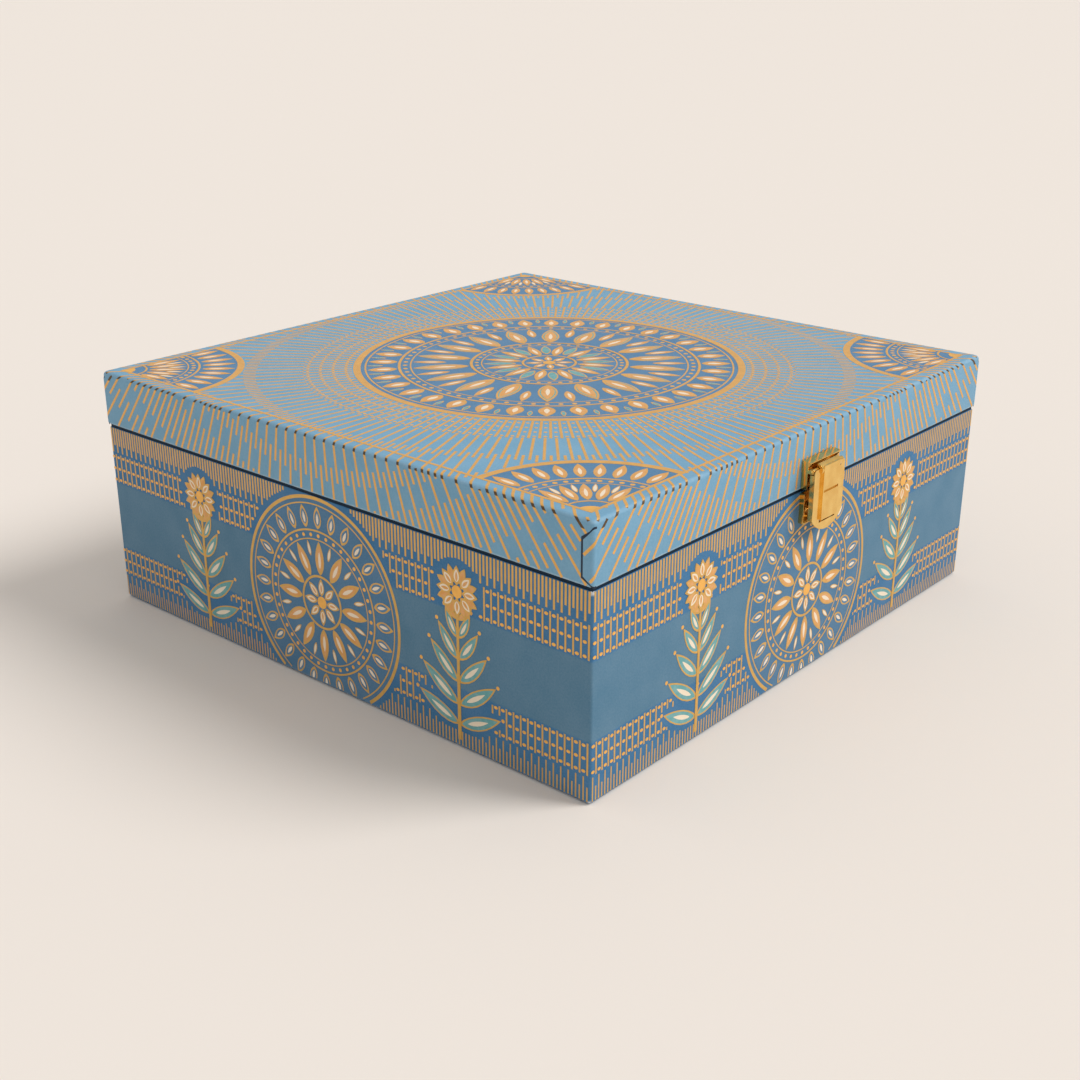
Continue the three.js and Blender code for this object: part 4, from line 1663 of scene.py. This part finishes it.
def cap_profile(low, high, radius):
    """Pressed cap: flat middle, a raised ring, a round edge and a rolled lower bead."""
    sheet = 0.9
    bead = 0.5
    edge = 1.6
    step = high - 0.35
    ridge = high - 0.05
    roof = high - sheet
    inner = radius - sheet
    profile = [(0.0, roof), (inner - 0.5, roof), (inner, roof - 0.6), (inner, low + 0.2)]
    profile += arc((radius - bead, low + bead), bead, 225, 360, 6)
    profile += [(radius - 0.05, low + 1.3), (radius - 0.25, low + 1.9), (radius - 0.25, high - 2.2)]
    profile += arc((radius - 0.25 - edge, high - edge), edge, 0, 90, 8)
    profile += [(radius - 4.6, high), (radius - 5.4, step), (radius - 8.2, step), (radius - 9.0, ridge)]
    return profile + [(radius - 12.0, ridge), (radius - 12.8, step), (0.0, step)]


for k in jar_numbers:
    centre = jar_centre(k)
    jar_low, jar_high = span(f"jar_{k}")
    cap_low, cap_high = span(f"jar_cap_{k}")
    glass = turned(jar_profile(jar_low[2], jar_high[2], jar_high[0] - centre[0]), centre, jar_sides)
    glass_mesh = mesh_from(f"jar_glass_{k}", *glass, smooth_below=sharp_angle)
    add_piece(glass_mesh, glass_finish, "base", [f"jar_{k}"])
    tin = turned(cap_profile(cap_low[2], cap_high[2], cap_high[0] - centre[0]), centre, jar_sides)
    tin_mesh = mesh_from(f"jar_cap_tin_{k}", *tin, smooth_below=sharp_angle)
    add_piece(tin_mesh, tin_finish, f"jar_cap_{k}", [f"jar_cap_{k}"])
    wear(foam_finish, f"jar_seal_{k}")
print("jars made")

# %% [markdown]
# ## Boards and linings
# The boards are hidden inside the wraps and keep their plain shapes. The neck boards and the linings show
# when the lid is open, so they get softened edges and the navy paper.

# %% Boards and linings
neck_edge = 0.35
lining_edge = 0.15
sheet_edge = 0.2


def soft_board(node, body, edge):
    mesh = fused(f"{node}_soft", [block(*span(node))], bevel=edge)
    add_piece(mesh, navy_finish, body, [node])


for side in ("front", "back", "left", "right"):
    soft_board(f"neck_{side}_board", "base", neck_edge)
    wear(board_finish, f"base_{side}_board", f"lid_{side}_board")
wear(board_finish, "base_floor_board", "lid_top_board")
soft_board("base_floor_lining", "base", lining_edge)
soft_board("lid_top_lining", "lid", lining_edge)
soft_board("base_bottom_sheet", "base", sheet_edge)
print("boards and linings made")

# %% [markdown]
# ## Floor and light
# A wide pale floor fills the view. One soft lamp from the front and above and an even sky light the box, so
# that the front is brighter than the left side, and a colour renders about as it is written.

# %% Stage
floor_half = 30000.0
floor_corners = [(x * floor_half, y * floor_half, 0.0) for x, y in ((-1, -1), (1, -1), (1, 1), (-1, 1))]
floor_mesh = mesh_from("floor", floor_corners, [(0, 1, 2, 3)])
floor_finish = Finish("pale_floor")
floor_finish.set({"Base Color": srgb(238, 229, 220), "Roughness": 0.9, "Specular IOR Level": 0.1})
floor_mesh.materials.append(floor_finish.material)
floor = new_object("floor", floor_mesh)

sun_from = Vector((0.28, -0.36, 0.42))
sun_data = bpy.data.lights.new("key_lamp", "SUN")
sun_data.energy = math.pi * sun_from.length
sun_data.angle = math.radians(30)
aimed("key_lamp", sun_data, -sun_from)

sky_colour = (1.0, 0.99, 0.98, 1.0)
sky_level = 0.6
world = bpy.data.worlds.new("soft_sky")
world.use_nodes = True
sky = world.node_tree.nodes["Background"].inputs
sky["Color"].default_value = sky_colour
sky["Strength"].default_value = sky_level
bpy.context.scene.world = world
bpy.context.scene.view_settings.view_transform = "Standard"
print("stage lit")
